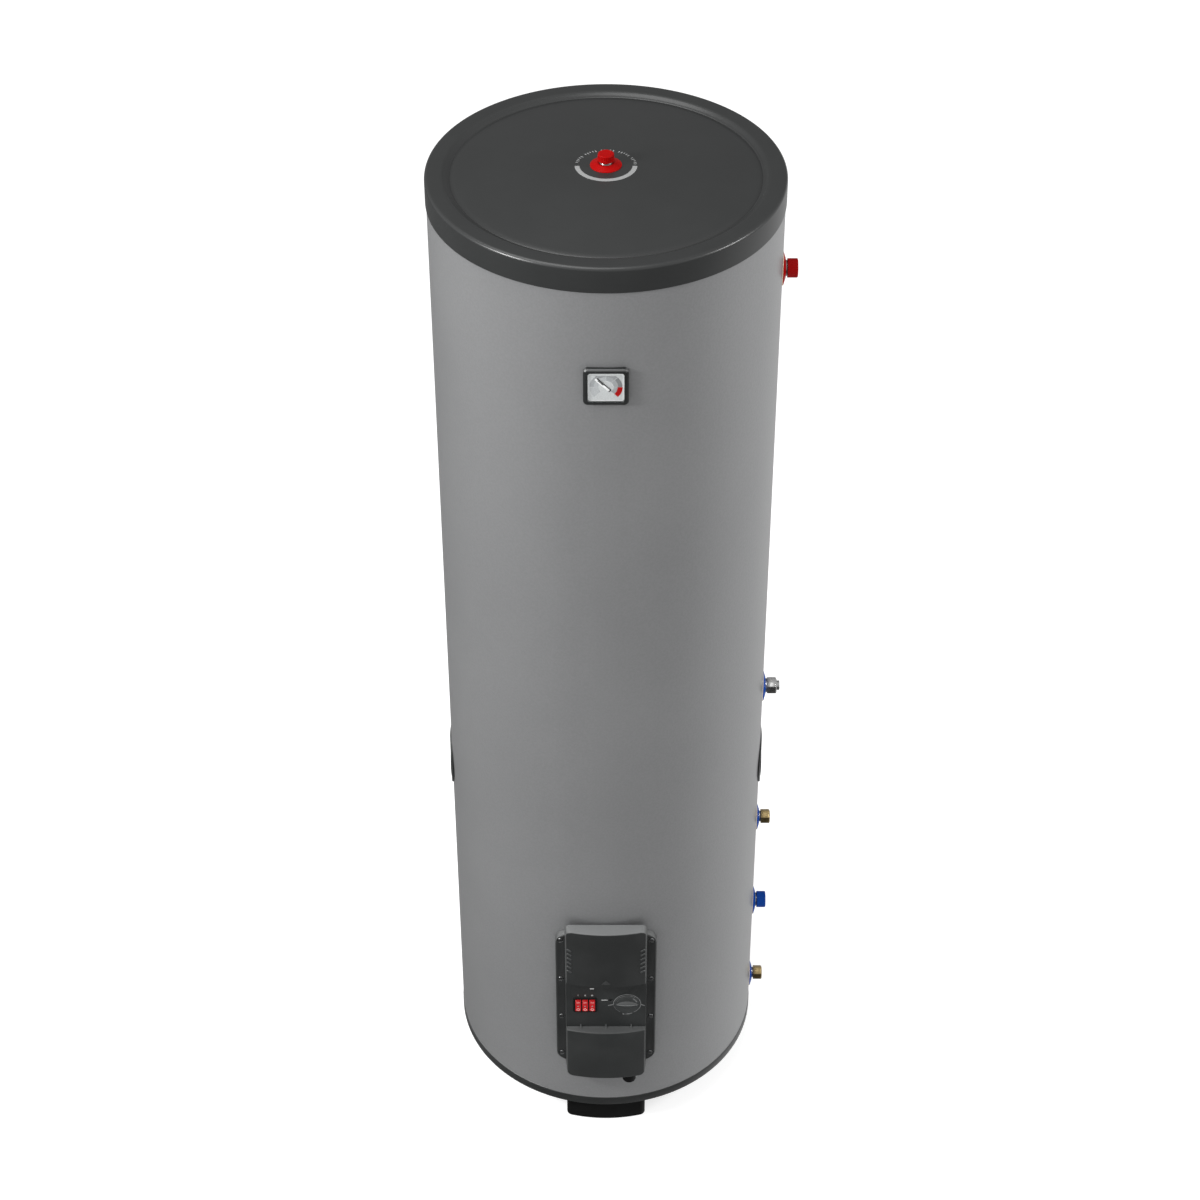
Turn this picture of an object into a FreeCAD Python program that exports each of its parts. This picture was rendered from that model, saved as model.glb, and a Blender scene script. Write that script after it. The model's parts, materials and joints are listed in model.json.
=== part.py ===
import FreeCAD, Part
import math
import os
from FreeCAD import Vector

# Floor-standing combined water heater: a glass-lined tank in a foamed steel jacket, heated by a
# coil and by three electric elements behind a control box.
# Sizes are in millimetres. Z is up and is the tank's axis, and the floor is at Z = 0.
# The control box faces -Y and the pipe connections point along +X.
# A height is counted from the underside of the base pan, and a depth is a distance from the
# axis towards the front.

# Casing
jacket_radius = 285.0
jacket_sheet = 1.0
body_height = 1894.0  # underside of the base pan to the lid's rim
fold_width = 12.0  # folded seam down the back of the jacket
fold_height = 1.4
fold_end_gap = 2.0
fit_gap = 0.3  # between faces of separate pieces
weld_gap = 0.1
over = 1.0  # how far a cutting shape runs past the face it cuts
spare = 20.0  # the same, for shapes trimmed to a curved face afterwards
turn_gap = 0.05  # radial running fit of a shaft

# Lid
lid_overhang = 1.7
lid_skirt = 43.4
lid_wall = 3.0
lid_edge_round = 6.0
lid_rim_width = 28.7  # flat rim round the top
lid_step_width = 12.0
lid_step_drop = 4.5
lid_dome_rise = 11.0  # middle of the dome above the rim
dome_flat_radius = 27.0  # flat in the middle of the dome, under the safety port's rosette
dome_bands = 4  # straight bands that follow the dome's curve
lip_wall = 2.5  # lips of lid and base pan inside the jacket
lip_reach = 12.0

# Base pan and feet
pan_overhang = 0.8
pan_height = 20.0
pan_floor = 4.0
pan_edge_bevel = 1.0
pan_opening_radius = 90.0
pan_rib_height = 9.0
pan_rib_width = 3.0
pan_rib_radius = 150.0
foot_count = 3
foot_width = 151.6
foot_reach = 262.0  # radius of the foot's outer face
foot_depth = 62.0
foot_height = 69.0
foot_wall = 4.0
foot_corner = 12.0
foot_edge_bevel = 1.5
pad_radius = 18.0
pad_showing = 1.0  # height of the pad below the foot
pad_thickness = 9.0
pad_edge_bevel = 1.0
pad_rim = 3.0
pad_inset = 2.6  # pad's rim behind the foot's outer face
stud_radius = 6.0
stud_length = 40.0
stud_end_gap = 1.0  # stud to the end of its bore
boss_wall = 6.0
pad_shoulder = 4.0  # width of the pad's flat top round the stud
pad_room = 1.5  # room round and above the pad in its foot

# Tank
foam_thickness = 46.5
top_foam = 44.0
tank_wall = 2.5
head_crown_share = 1.0  # crown radius of the top head over the tank's diameter
head_knuckle = 47.5
bottom_crown = 700.0
bottom_knuckle = 25.0
bottom_rim_height = 12.0
head_bands = 3  # straight bands in a head's knuckle, and as many in its crown

# Pipe connections: heights, and the radii of G 3/4 and G 1/2 stubs
large_stub_radius = 13.2
small_stub_radius = 10.45
stub_wall = 3.2
stub_bevel = 1.0
stub_inside = 3.0  # length of a stub inside the tank's wall
stub_showing = 21.0  # length of a stub outside the jacket
top_stub_showing = 16.8  # length of the top stub above the lid
top_cap_gap = 9.0  # lid to the inner edge of the top stub's cap
hot_below_top = 179.0
recirculation_height = 823.0
coil_top_height = 495.0
cold_height = 272.0
coil_bottom_height = 66.0
cap_wall = 2.6
coil_cap_wall = 3.6
hexagon_sides = 6
cap_facets = 16
cap_gap = 8.0  # jacket to the inner edge of a cap
cap_end = 4.2
cap_bevel = 1.8
plug_nub_radius = 8.9
plug_nub_length = 5.2
rosette_margin = 14.8  # rosette radius beyond its stub
rosette_edge = 1.6
rosette_root = 2.0  # below the seat, before the seat's curve is cut away
rosette_rise = 5.0
rosette_top_margin = 3.0

# Coil and pickup pipe in the tank
coil_radius = 165.0
coil_tube_radius = 12.5
coil_turns = 5
coil_sides = 9  # straight runs in each turn
coil_lead = 26.0
coil_lead_rise = 2.6
pickup_run = 60.0
pickup_bend = 24.0
pickup_rise = 60.0

# Heating flange
flange_radius = 70.0
flange_opening_radius = 47.0
flange_ring_thickness = 11.0
gasket_thickness = 2.5
flange_thickness = 6.0
flange_bolts = 6
bolt_radius = 4.0
bolt_head_width = 13.0
bolt_head_height = 5.3
bolt_margin = 11.5  # bolt centres inside the flange's rim
bolt_end_gap = 1.0  # bolt to the bottom of its tapped hole
element_tube_radius = 4.25
element_leg_spacing = 22.0
element_length = 300.0
element_row = 15.0  # rows above and below the flange's middle
element_offset = 21.0
element_stub_out = 12.0
anode_radius = 11.0
anode_length = 260.0
well_radius = 6.0
well_showing = 8.0
well_wall = 1.2
well_end = 4.0
well_length = 240.0

# Control box
housing_width = 154.0
housing_height = 387.5
housing_below_flange = 192.0
housing_corner = 10.0
housing_wall = 2.5
housing_draft = 7.4  # degrees
housing_crown_out = 31.0  # crown of the front beyond the jacket
housing_crown_radius = 285.0
frame_width = 185.5
frame_height = 341.0
frame_above_housing = 21.0  # frame's lower edge above the housing's
frame_corner = 25.0
frame_out = 3.0
frame_edge_bevel = 2.0
panel_out = 12.0
ledge_above = 125.7
cover_above = 251.0
gusset_spacing = 47.0
gusset_height = 6.4
gusset_depth = 7.5
gusset_root = 0.5
gusset_thickness = 1.8
opening_width = 152.0  # hole in the jacket and well in the foam behind the box
opening_height = 316.0
opening_corner = 22.0
tray_margin = 11.0  # tray's side wall inside the housing's side
rail_width = 4.3
hook_thickness = 2.6
hook_depth_gap = 0.4
hook_end_gap = 2.0
hook_run_gap = 1.5  # hook to the side of the tray
rib_count = 6
rib_pitch = 11.0
rib_thickness = 4.2
rib_proud = 1.3
rib_reach = 9.0
rib_lean = 28.0  # degrees
rib_above_split = 32.0
rib_edge_gap = 0.6
rib_root = 0.4
screw_rows = 4
screw_spacing = 167.2
screw_pitch = 101.2
screw_low = 22.5  # lowest screw above the frame's lower edge
screw_head_radius = 4.6
screw_head_height = 2.2
screw_radius = 2.0
screw_length = 20.0
screw_recess_radius = 5.8
screw_recess_depth = 1.6
screw_head_taper = 0.7  # radius of the head's top over its foot

# Switches, knob, reset button, terminals and gland
switch_offset = -38.7
switch_above = 184.7
switch_width = 44.0
switch_height = 36.5
switch_body_margin = 1.8
switch_rim = 2.0
switch_rim_bevel = 0.8
switch_corner = 2.5
switch_depth = 20.0
rocker_count = 3
rocker_width = 10.3
rocker_length = 31.8
rocker_pitch = 13.1
rocker_side_gap = 0.2
rocker_pivot_depth = 5.0  # pivot behind the front of the switch bezel
rocker_lean = 8.0  # degrees to either side
rocker_pin_radius = 1.2
rocker_pin_reach = 0.9
rocker_pin_end_gap = 0.15
rocker_end_low = -12.0  # degrees about the pivot, of the curve at a rocker's ends
rocker_end_high = 26.0
rocker_hollow = 2.2
rocker_keel = 6.0  # half the width of its underside, and the underside below the pivot
rocker_well = 8.0  # floor of a rocker's pocket below its pivot
knob_offset = 39.3
knob_above = 186.9
knob_radius = 24.3
knob_thickness = 1.4
knob_gap = 0.4  # between the panel and the knob
knob_edge = 0.6
knob_grip_length = 48.0  # at its root, inside the disc
knob_grip_width = 16.4
knob_grip_height = 3.2
knob_grip_root = 0.8
knob_grip_peak = 3.8  # height at which the ridge's sides would meet
shaft_radius = 3.0
shaft_in_knob = 3.0
bush_wall = 2.0
thermostat_width = 38.0
thermostat_depth = 25.0
thermostat_bore_floor = 6.0
reset_offset = 9.0
reset_above = 197.0
reset_hole_radius = 3.5
reset_radius = 2.4
reset_travel = 2.5
reset_sunk = 2.2
reset_length = 14.0
cutout_width = 19.0
cutout_height = 34.0
cutout_depth = 22.0
cutout_offset = -2.0  # middle of the cut-out beside its reset pin
terminal_ways = 5
terminal_pitch = 15.0
terminal_height = 22.0
terminal_thickness = 10.0
terminal_above_split = 62.0
terminal_well = 7.2
terminal_screw_radius = 2.8
terminal_end = 3.0  # block beyond the outer ways
terminal_well_floor = 4.0
terminal_screw_top = 7.0
terminal_slit = 1.6
terminal_slit_floor = 6.0
wire_slot_width = 70.0
wire_slot_height = 14.0
wire_slot_corner = 6.0
gland_offset = 44.0
gland_radius = 14.0
gland_drop = 20.0
gland_flange = 5.0
gland_flange_slope = 1.0
gland_dome_radius = 12.6
gland_dome_round = 3.0
gland_neck_radius = 8.0
gland_bore_radius = 4.5
gland_nut = 5.0

# Gauge
gauge_below_top = 212.0
gauge_width = 71.0
gauge_height = 67.0
gauge_corner = 8.0
gauge_out = 7.5
gauge_edge_bevel = 2.4
window_width = 57.0
window_height = 53.0
window_corner = 4.5
window_depth = 3.4
dial_thickness = 0.8
lens_thickness = 0.8
lens_sunk = 0.2
spigot_radius = 20.0
spigot_depth = 16.0
needle_tip = 22.5
needle_tail = 9.5
needle_width = 5.6
needle_thickness = 0.6
needle_lift = 0.4
needle_hub_radius = 2.3
needle_hub_rise = 0.2
needle_slot_width = 1.4
needle_slot_from = 6.0
needle_slot_to = 18.0
spindle_radius = 1.0
spindle_length = 8.0
spindle_end_gap = 0.5
spindle_hole_gap = 0.3  # hole in the dial
needle_angle = 135.0  # degrees from +X, seen from the front

# Carrying handles
handle_height = 663.0
handle_radius = 57.8
handle_proud = 3.0
handle_flat = 46.0  # half the height over which the flange stands fully proud
handle_fall = 2.2  # fall of the flange towards its top and bottom
cup_radius = 48.0
cup_depth = 31.0
cup_wall = 2.5
lip_thickness = 6.0
lip_edge = 3.0  # lower edge of the lip above the handle's middle
lip_undercut = 22.0

base_height = foot_height + pad_showing
lip_radius = jacket_radius - jacket_sheet - fit_gap
tank_radius = jacket_radius - jacket_sheet - foam_thickness
head_crown = 2 * tank_radius * head_crown_share
lid_radius = jacket_radius + lid_overhang
foam_top = body_height - lid_wall - lid_step_drop - fit_gap
coil_pitch = (coil_top_height - coil_bottom_height) / coil_turns
flange_height = coil_bottom_height + coil_pitch * (coil_turns // 2 + 0.75)
housing_low = flange_height - housing_below_flange
housing_high = housing_low + housing_height
ledge_height = housing_low + ledge_above
split_height = housing_low + cover_above
frame_low = housing_low + frame_above_housing
frame_high = frame_low + frame_height
frame_depth = jacket_radius + frame_out
screw_seat = frame_depth - screw_recess_depth
panel_depth = jacket_radius + panel_out
crown_depth = jacket_radius + housing_crown_out
tray_half_width = housing_width / 2 - tray_margin
tray_high = frame_high - 2 * housing_wall
far_front = crown_depth + spare  # ahead of everything on the control box
switch_front = panel_depth + switch_rim
switch_middle = housing_low + switch_above
rocker_pivot = switch_front - rocker_pivot_depth
knob_middle = housing_low + knob_above
knob_back = panel_depth + knob_gap
panel_back = panel_depth - housing_wall
thermostat_back = panel_back - thermostat_depth
reset_middle = housing_low + reset_above
reset_front = panel_depth - reset_sunk
reset_back = reset_front - reset_length
terminal_middle = split_height + terminal_above_split
gauge_middle = body_height - gauge_below_top
gauge_front = jacket_radius + gauge_out
window_floor = gauge_front - window_depth
dial_front = window_floor + dial_thickness
needle_back = dial_front + needle_lift
spindle_back = window_floor - spindle_length
hot_height = body_height - hot_below_top
stub_start = tank_radius - tank_wall - stub_inside
ring_front = tank_radius + flange_ring_thickness
gasket_front = ring_front + gasket_thickness
flange_front = gasket_front + flange_thickness
dome_edge = lid_radius - lid_rim_width - lid_step_width
dome_sag = lid_dome_rise + lid_step_drop
dome_curve = (dome_edge**2 + dome_sag**2) / (2 * dome_sag)
head_drop = math.sqrt((head_crown - head_knuckle) ** 2 - (tank_radius - head_knuckle) ** 2)
head_depth = head_crown - head_drop
tank_seam_height = foam_top - top_foam - head_depth


def up(height):
    """Z of a height above the base pan's underside."""
    return base_height + height


def front(x, height, depth):
    """Point at a sideways place, a height and a depth towards the front."""
    return Vector(x, -depth, up(height))


def arc_about(centre, start, end):
    """Shorter circular arc about a centre."""
    first = start - centre
    last = end - centre
    circle = Part.Circle(centre, first.cross(last).normalize(), first.Length)
    begin = circle.parameter(start)
    return Part.ArcOfCircle(circle, begin, begin + first.getAngle(last)).toShape()


def turned(outline, low=0.0):
    """Solid of revolution about Z. Each step of the outline is a (radius, z) point, or a pair: an
    arc's centre and the point where the arc ends."""
    corners = [step[-1] if isinstance(step[0], tuple) else step for step in outline]
    edges = []
    for index, step in enumerate(outline[1:] + outline[:1]):
        start = Vector(corners[index][0], 0, corners[index][1] + low)
        if isinstance(step[0], tuple):
            centre, end = [Vector(radius, 0, z + low) for radius, z in step]
            edges.append(arc_about(centre, start, end))
        else:
            end = Vector(step[0], 0, step[1] + low)
            edges.append(Part.LineSegment(start, end).toShape())
    face = Part.Face(Part.Wire(edges))
    return face.revolve(Vector(0, 0, 0), Vector(0, 0, 1), 360)


def post(radius, low, high, x=0.0, y=0.0):
    """Upright cylinder between two Z values, its seam at the back."""
    cylinder = Part.makeCylinder(radius, high - low, Vector(x, y, low))
    cylinder.rotate(Vector(x, y, 0), Vector(0, 0, 1), 90)
    return cylinder


def forward_post(radius, x, height, back, ahead):
    """Cylinder along the front direction between two depths."""
    return Part.makeCylinder(radius, ahead - back, front(x, height, back), Vector(0, -1, 0))


def outward(shape, height):
    """Turn a shape built along Z to point along +X, at a height."""
    shape.rotate(Vector(0, 0, 0), Vector(0, 1, 0), 90)
    shape.translate(Vector(0, 0, up(height)))
    return shape


def block(width, low, high, back, ahead, x=0.0):
    """Box by its width, two heights and two depths."""
    corner = front(x - width / 2, low, ahead)
    return Part.makeBox(width, ahead - back, high - low, corner)


def rounded_outline(width, height, corner, middle, depth, x=0.0):
    """Rounded rectangle in the front plane at a depth."""
    edges = []
    bows = []
    for quarter in range(4):
        angle = math.radians(45 + 90 * quarter)
        side_x = x + math.copysign(width / 2 - corner, math.cos(angle))
        side_z = middle + math.copysign(height / 2 - corner, math.sin(angle))
        points = []
        for turn in (-45, 0, 45):
            bearing = angle + math.radians(turn)
            place_x = side_x + corner * math.cos(bearing)
            place_z = side_z + corner * math.sin(bearing)
            points.append(front(place_x, place_z, depth))
        bows.append(points)
    for quarter in range(4):
        edges.append(Part.Arc(*bows[quarter]).toShape())
        following = bows[(quarter + 1) % 4]
        edges.append(Part.LineSegment(bows[quarter][2], following[0]).toShape())
    return Part.Wire(edges)


def rounded_block(width, height, corner, middle, back, ahead, x=0.0):
    """Rounded rectangle extruded between two depths."""
    face = Part.Face(rounded_outline(width, height, corner, middle, back, x))
    return face.extrude(Vector(0, back - ahead, 0))


def edges_at(shape, test):
    """Edges whose every end and middle point passes a test."""
    chosen = []
    for edge in shape.Edges:
        first, last = edge.ParameterRange
        points = [edge.valueAt(first + share * (last - first)) for share in (0.1, 0.5, 0.9)]
        if all(test(point) for point in points):
            chosen.append(edge)
    return chosen


def ring(outer, inner, low, high):
    """Upright tube between two Z values."""
    return post(outer, low, high).cut(post(inner, low - over, high + over))


def around_front(radius, gap):
    """Upright cylinder over the whole height, for trimming pieces to the jacket's curve."""
    return post(radius + gap, 0, up(body_height))


def dish(radius, crown, knuckle, rim=0.0, stop=0.0):
    """Outline of a dished head above its rim, pressed in straight bands, from rim to crown."""
    drop = math.sqrt((crown - knuckle) ** 2 - (radius - knuckle) ** 2)
    lean = math.asin((radius - knuckle) / (crown - knuckle))
    bend = math.pi / 2 - lean
    points = []
    for step in range(head_bands):
        angle = bend * step / head_bands
        place = radius - knuckle + knuckle * math.cos(angle)
        points.append((place, rim + knuckle * math.sin(angle)))
    last = math.asin(stop / crown)
    for step in range(head_bands + 1):
        angle = lean + (last - lean) * step / head_bands
        points.append((crown * math.sin(angle), rim + crown * math.cos(angle) - drop))
    return points


def dished_head(radius, crown, knuckle, hole=0.0):
    """Dished head of the tank's wall, its rim at Z = 0 and its crown upwards."""
    outer = dish(radius, crown, knuckle, 0.0, hole)
    inner = dish(radius - tank_wall, crown - tank_wall, knuckle - tank_wall, 0.0, hole)
    return turned(outer + inner[::-1])


def lid_dome(radius):
    """Height of the lid's dome over the rim at a radius."""
    return lid_dome_rise - dome_curve + math.sqrt(dome_curve**2 - radius**2)


def top_lid():
    rim = lid_radius - lid_rim_width
    round_centre = (lid_radius - lid_edge_round, -lid_edge_round)
    dome = []
    for band in range(dome_bands + 1):
        radius = dome_edge + (dome_flat_radius - dome_edge) * band / dome_bands
        dome.append((radius, lid_dome(radius)))
    dome.append((small_stub_radius + fit_gap, dome[-1][1]))
    under_dome = [(radius, height - lid_wall) for radius, height in dome[::-1]]
    outline = [
        (lid_radius, -lid_skirt),
        (lid_radius, -lid_edge_round),
        (round_centre, (lid_radius - lid_edge_round, 0.0)),
        (rim, 0.0),
        *dome,
        *under_dome,
        (rim - lid_wall, -lid_wall),
        (lip_radius - lip_wall, -lid_wall),
        (lip_radius - lip_wall, -lid_skirt - lip_reach),
        (lip_radius, -lid_skirt - lip_reach),
        (lip_radius, -lid_skirt),
    ]
    return turned(outline, up(body_height))


def base_pan():
    outer = jacket_radius + pan_overhang
    inner = lip_radius - lip_wall
    outline = [
        (pan_opening_radius, 0.0),
        (outer - pan_edge_bevel, 0.0),
        (outer, pan_edge_bevel),
        (outer, pan_height - pan_edge_bevel),
        (outer - pan_edge_bevel, pan_height),
        (lip_radius, pan_height),
        (lip_radius, pan_height + lip_reach),
        (inner, pan_height + lip_reach),
        (inner, pan_floor),
        (pan_opening_radius, pan_floor),
    ]
    pan = turned(outline, up(0))
    low = up(0) - pan_rib_height
    for radius in (pan_opening_radius, pan_rib_radius):
        pan = pan.fuse(ring(radius + pan_rib_width, radius, low, up(0)))
    return pan.removeSplitter()


def foot(bearing):
    """Hollow foot under the pan, its outer face curved about the tank's axis."""
    low = pad_showing
    high = base_height
    stud_place = foot_reach - pad_inset - pad_radius
    whole = ring(foot_reach, foot_reach - foot_depth, low, high)
    strip = Part.makeBox(foot_width, foot_reach, high, Vector(-foot_width / 2, -foot_reach, 0))
    solid = whole.common(strip)
    solid = solid.makeFillet(foot_corner, edges_at(solid, foot_upright))
    solid = solid.makeChamfer(foot_edge_bevel, edges_at(solid, lambda p: abs(p.z - low) < 0.01))
    hollow = ring(foot_reach - foot_wall, foot_reach - foot_depth + foot_wall, 0, high - foot_wall)
    inner_width = foot_width - 2 * foot_wall
    inside = Part.makeBox(
        inner_width, foot_reach, high, Vector(-inner_width / 2, -foot_reach, 0)
    )
    boss = post(stud_radius + boss_wall, low + pad_thickness, high - foot_wall, 0, -stud_place)
    solid = solid.cut(hollow.common(inside).cut(boss))
    solid = solid.cut(post(pad_radius + pad_room, 0, pad_thickness + pad_room, 0, -stud_place))
    bore = post(stud_radius + turn_gap, 0, pad_thickness + stud_length, 0, -stud_place)
    solid = solid.cut(bore)
    solid.rotate(Vector(0, 0, 0), Vector(0, 0, 1), bearing)
    return solid


def foot_upright(point):
    """Upright corner edges of a foot."""
    radius = math.hypot(point.x, point.y)
    on_side = abs(abs(point.x) - foot_width / 2) < 0.01
    inner = foot_reach - foot_depth
    return on_side and (abs(radius - foot_reach) < 0.01 or abs(radius - inner) < 0.01)


def levelling_feet():
    """Three round pads, each on a threaded stud that screws up into its foot."""
    stud_top = pad_thickness + stud_length - stud_end_gap
    outline = [
        (0.0, 0.0),
        (pad_radius - pad_edge_bevel, 0.0),
        (pad_radius, pad_edge_bevel),
        (pad_radius, pad_rim),
        (stud_radius + pad_shoulder, pad_thickness),
        (stud_radius, pad_thickness),
        (stud_radius, stud_top),
        (0.0, stud_top),
    ]
    place = foot_reach - pad_inset - pad_radius
    feet = []
    for index in range(foot_count):
        pad = turned(outline)
        pad.translate(Vector(0, -place, 0))
        pad.rotate(Vector(0, 0, 0), Vector(0, 0, 1), 360 / foot_count * index)
        feet.append(pad)
    return Part.makeCompound(feet)


def side_ports():
    """Height, stub radius and name of each connection on the side."""
    return [
        ("hot_outlet", hot_height, large_stub_radius),
        ("recirculation", recirculation_height, large_stub_radius),
        ("coil_inlet", coil_top_height, small_stub_radius),
        ("cold_inlet", cold_height, large_stub_radius),
        ("coil_outlet", coil_bottom_height, small_stub_radius),
    ]


def side_hole(height, radius, inner, outer):
    """Cylinder along +X between two distances from the axis."""
    return Part.makeCylinder(radius, outer - inner, Vector(inner, 0, up(height)), Vector(1, 0, 0))


def jacket():
    low = up(pan_height)
    high = up(body_height - lid_skirt)
    sheet = ring(jacket_radius, jacket_radius - jacket_sheet, low, high)
    fold = Part.makeBox(
        fold_width,
        jacket_sheet + fold_height,
        high - low - 2 * fold_end_gap,
        Vector(-fold_width / 2, 0, low + fold_end_gap),
    )
    fold.translate(Vector(0, jacket_radius - jacket_sheet, 0))
    sheet = sheet.fuse(fold).cut(post(jacket_radius - jacket_sheet, low - over, high + over))
    for _, height, radius in side_ports():
        reach = rosette_margin / 2
        sheet = sheet.cut(side_hole(height, radius + reach, tank_radius, jacket_radius + spare))
    for side in (-1, 1):
        hole = side_hole(handle_height, cup_radius + fit_gap, tank_radius, jacket_radius + spare)
        if side < 0:
            hole.rotate(Vector(0, 0, 0), Vector(0, 0, 1), 180)
        sheet = sheet.cut(hole)
    spigot_hole = forward_post(
        spigot_radius + fit_gap, 0, gauge_middle, tank_radius, jacket_radius + spare
    )
    for screw_hole in screw_holes():
        sheet = sheet.cut(screw_hole)
    return sheet.cut(box_opening(0)).cut(spigot_hole)


def box_opening(margin):
    """Well behind the control box, through jacket and foam."""
    return rounded_block(
        opening_width - 2 * margin,
        opening_height - 2 * margin,
        opening_corner,
        frame_low + frame_height / 2,
        tank_radius / 2,
        jacket_radius + spare,
    )


def insulation():
    """Foam between tank and jacket, cut for the connections, handles, gauge and control box."""
    hole = small_stub_radius + fit_gap
    over_tank = dish(
        tank_radius + fit_gap,
        head_crown + fit_gap,
        head_knuckle + fit_gap,
        tank_seam_height,
        hole,
    )
    end_radius = lip_radius - lip_wall - fit_gap
    lower_lip = pan_height + lip_reach + fit_gap
    upper_lip = body_height - lid_skirt - lip_reach - fit_gap
    outline = [
        (tank_radius + fit_gap, pan_floor),
        (end_radius, pan_floor),
        (end_radius, lower_lip),
        (lip_radius, lower_lip),
        (lip_radius, upper_lip),
        (end_radius, upper_lip),
        (end_radius, foam_top),
        (hole, foam_top),
    ]
    foam = turned(outline + over_tank[::-1], up(0))
    for _, height, radius in side_ports():
        foam = foam.cut(side_hole(height, radius + fit_gap, 0, jacket_radius))
    cup = side_hole(handle_height, cup_radius + fit_gap, 0, jacket_radius)
    cup = cup.cut(post(jacket_radius - cup_depth - fit_gap, 0, up(body_height)))
    foam = foam.cut(cup)
    cup.rotate(Vector(0, 0, 0), Vector(0, 0, 1), 180)
    foam = foam.cut(cup)
    pocket_back = jacket_radius - spigot_depth - fit_gap
    pocket = forward_post(
        spigot_radius + fit_gap, 0, gauge_middle, pocket_back, jacket_radius
    )
    for screw_hole in screw_holes():
        foam = foam.cut(screw_hole)
    return foam.cut(pocket).cut(box_opening(fit_gap))


def tank_shell():
    shell = ring(tank_radius, tank_radius - tank_wall, up(pan_floor), up(tank_seam_height))
    for _, height, radius in side_ports():
        shell = shell.cut(side_hole(height, radius + weld_gap, 0, jacket_radius))
    opening = forward_post(
        flange_opening_radius, 0, flange_height, tank_radius / 2, jacket_radius
    )
    return shell.cut(opening)


def tank_top_head():
    head = dished_head(tank_radius, head_crown, head_knuckle, small_stub_radius + weld_gap)
    head.translate(Vector(0, 0, up(tank_seam_height)))
    return head


def tank_bottom_head():
    head = dished_head(tank_radius - tank_wall - weld_gap, bottom_crown, bottom_knuckle)
    head.translate(Vector(0, 0, up(bottom_rim_height)))
    return head


def stub(radius, start, end):
    """Threaded connection as a plain tube along Z."""
    outline = [
        (radius - stub_wall, start),
        (radius, start),
        (radius, end - stub_bevel),
        (radius - stub_bevel, end),
        (radius - stub_wall, end),
    ]
    return turned(outline)


def side_stub(height, radius):
    return outward(stub(radius, stub_start, jacket_radius + stub_showing), height)


def top_stub():
    """Safety connection on the axis, from the top head up through the lid."""
    start = tank_seam_height + head_depth - tank_wall - stub_inside
    end = body_height + lid_dome_rise + top_stub_showing
    piece = stub(small_stub_radius, start, end)
    piece.translate(Vector(0, 0, up(0)))
    return piece


def rosette(stub_radius):
    """Cone-shaped collar round a stub, seated at Z = 0."""
    inner = stub_radius + fit_gap
    outer = stub_radius + rosette_margin
    outline = [
        (inner, -rosette_root),
        (outer, -rosette_root),
        (outer, rosette_edge),
        (inner + rosette_top_margin, rosette_rise),
        (inner, rosette_rise),
    ]
    return turned(outline)


def side_rosette(height, radius):
    piece = rosette(radius)
    piece.translate(Vector(0, 0, jacket_radius))
    piece = outward(piece, height)
    return piece.cut(around_front(jacket_radius, weld_gap))


def top_rosette():
    piece = rosette(small_stub_radius)
    flat_above = up(body_height + lid_dome(dome_flat_radius))
    piece.translate(Vector(0, 0, flat_above))
    return piece.cut(post(2 * dome_flat_radius, up(body_height), flat_above + weld_gap))


def polygon(radius, sides, z):
    """Closed regular polygon across the Z axis."""
    corners = []
    for index in range(sides + 1):
        angle = 2 * math.pi * index / sides
        corners.append(Vector(radius * math.cos(angle), radius * math.sin(angle), z))
    return Part.makePolygon(corners)


def cap_blank(radius, sides, length):
    """Prism with a bevelled outer end."""
    bevel_start = length - cap_bevel
    prism = Part.Face(polygon(radius, sides, 0)).extrude(Vector(0, 0, bevel_start))
    ends = [polygon(radius, sides, bevel_start), polygon(radius - cap_bevel, sides, length)]
    return prism.fuse(Part.makeLoft(ends, True, True)).removeSplitter()


def cap(stub_radius, sides, wall, covered):
    """Cap over a length of a stub: a faceted outside with a plain bore."""
    piece = cap_blank(stub_radius + wall, sides, covered + cap_end)
    return piece.cut(post(stub_radius + turn_gap, -1, covered + weld_gap))


def side_cap(height, stub_radius, sides, wall):
    piece = cap(stub_radius, sides, wall, stub_showing - cap_gap)
    piece.translate(Vector(0, 0, jacket_radius + cap_gap))
    return outward(piece, height)


def recirculation_plug():
    """Steel hexagon cap with a round nub on its end."""
    covered = stub_showing - cap_gap
    end = covered + cap_end
    nub = post(plug_nub_radius, end - over, end + plug_nub_length)
    piece = cap(large_stub_radius, hexagon_sides, cap_wall, covered).fuse(nub)
    piece.translate(Vector(0, 0, jacket_radius + cap_gap))
    return outward(piece, recirculation_height)


def top_cap():
    piece = cap(small_stub_radius, cap_facets, cap_wall, top_stub_showing - top_cap_gap)
    piece.translate(Vector(0, 0, up(body_height + lid_dome_rise + top_cap_gap)))
    return piece


def swept(points, radius):
    """Round bar along straight runs, mitred at the corners."""
    path = Part.makePolygon(points)
    section = Part.Wire([Part.makeCircle(radius, points[0], points[1] - points[0])])
    sweep = Part.BRepOffsetAPI.MakePipeShell(path)
    sweep.setTransitionMode(1)
    sweep.add(section)
    sweep.build()
    sweep.makeSolid()
    return sweep.shape()


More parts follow.
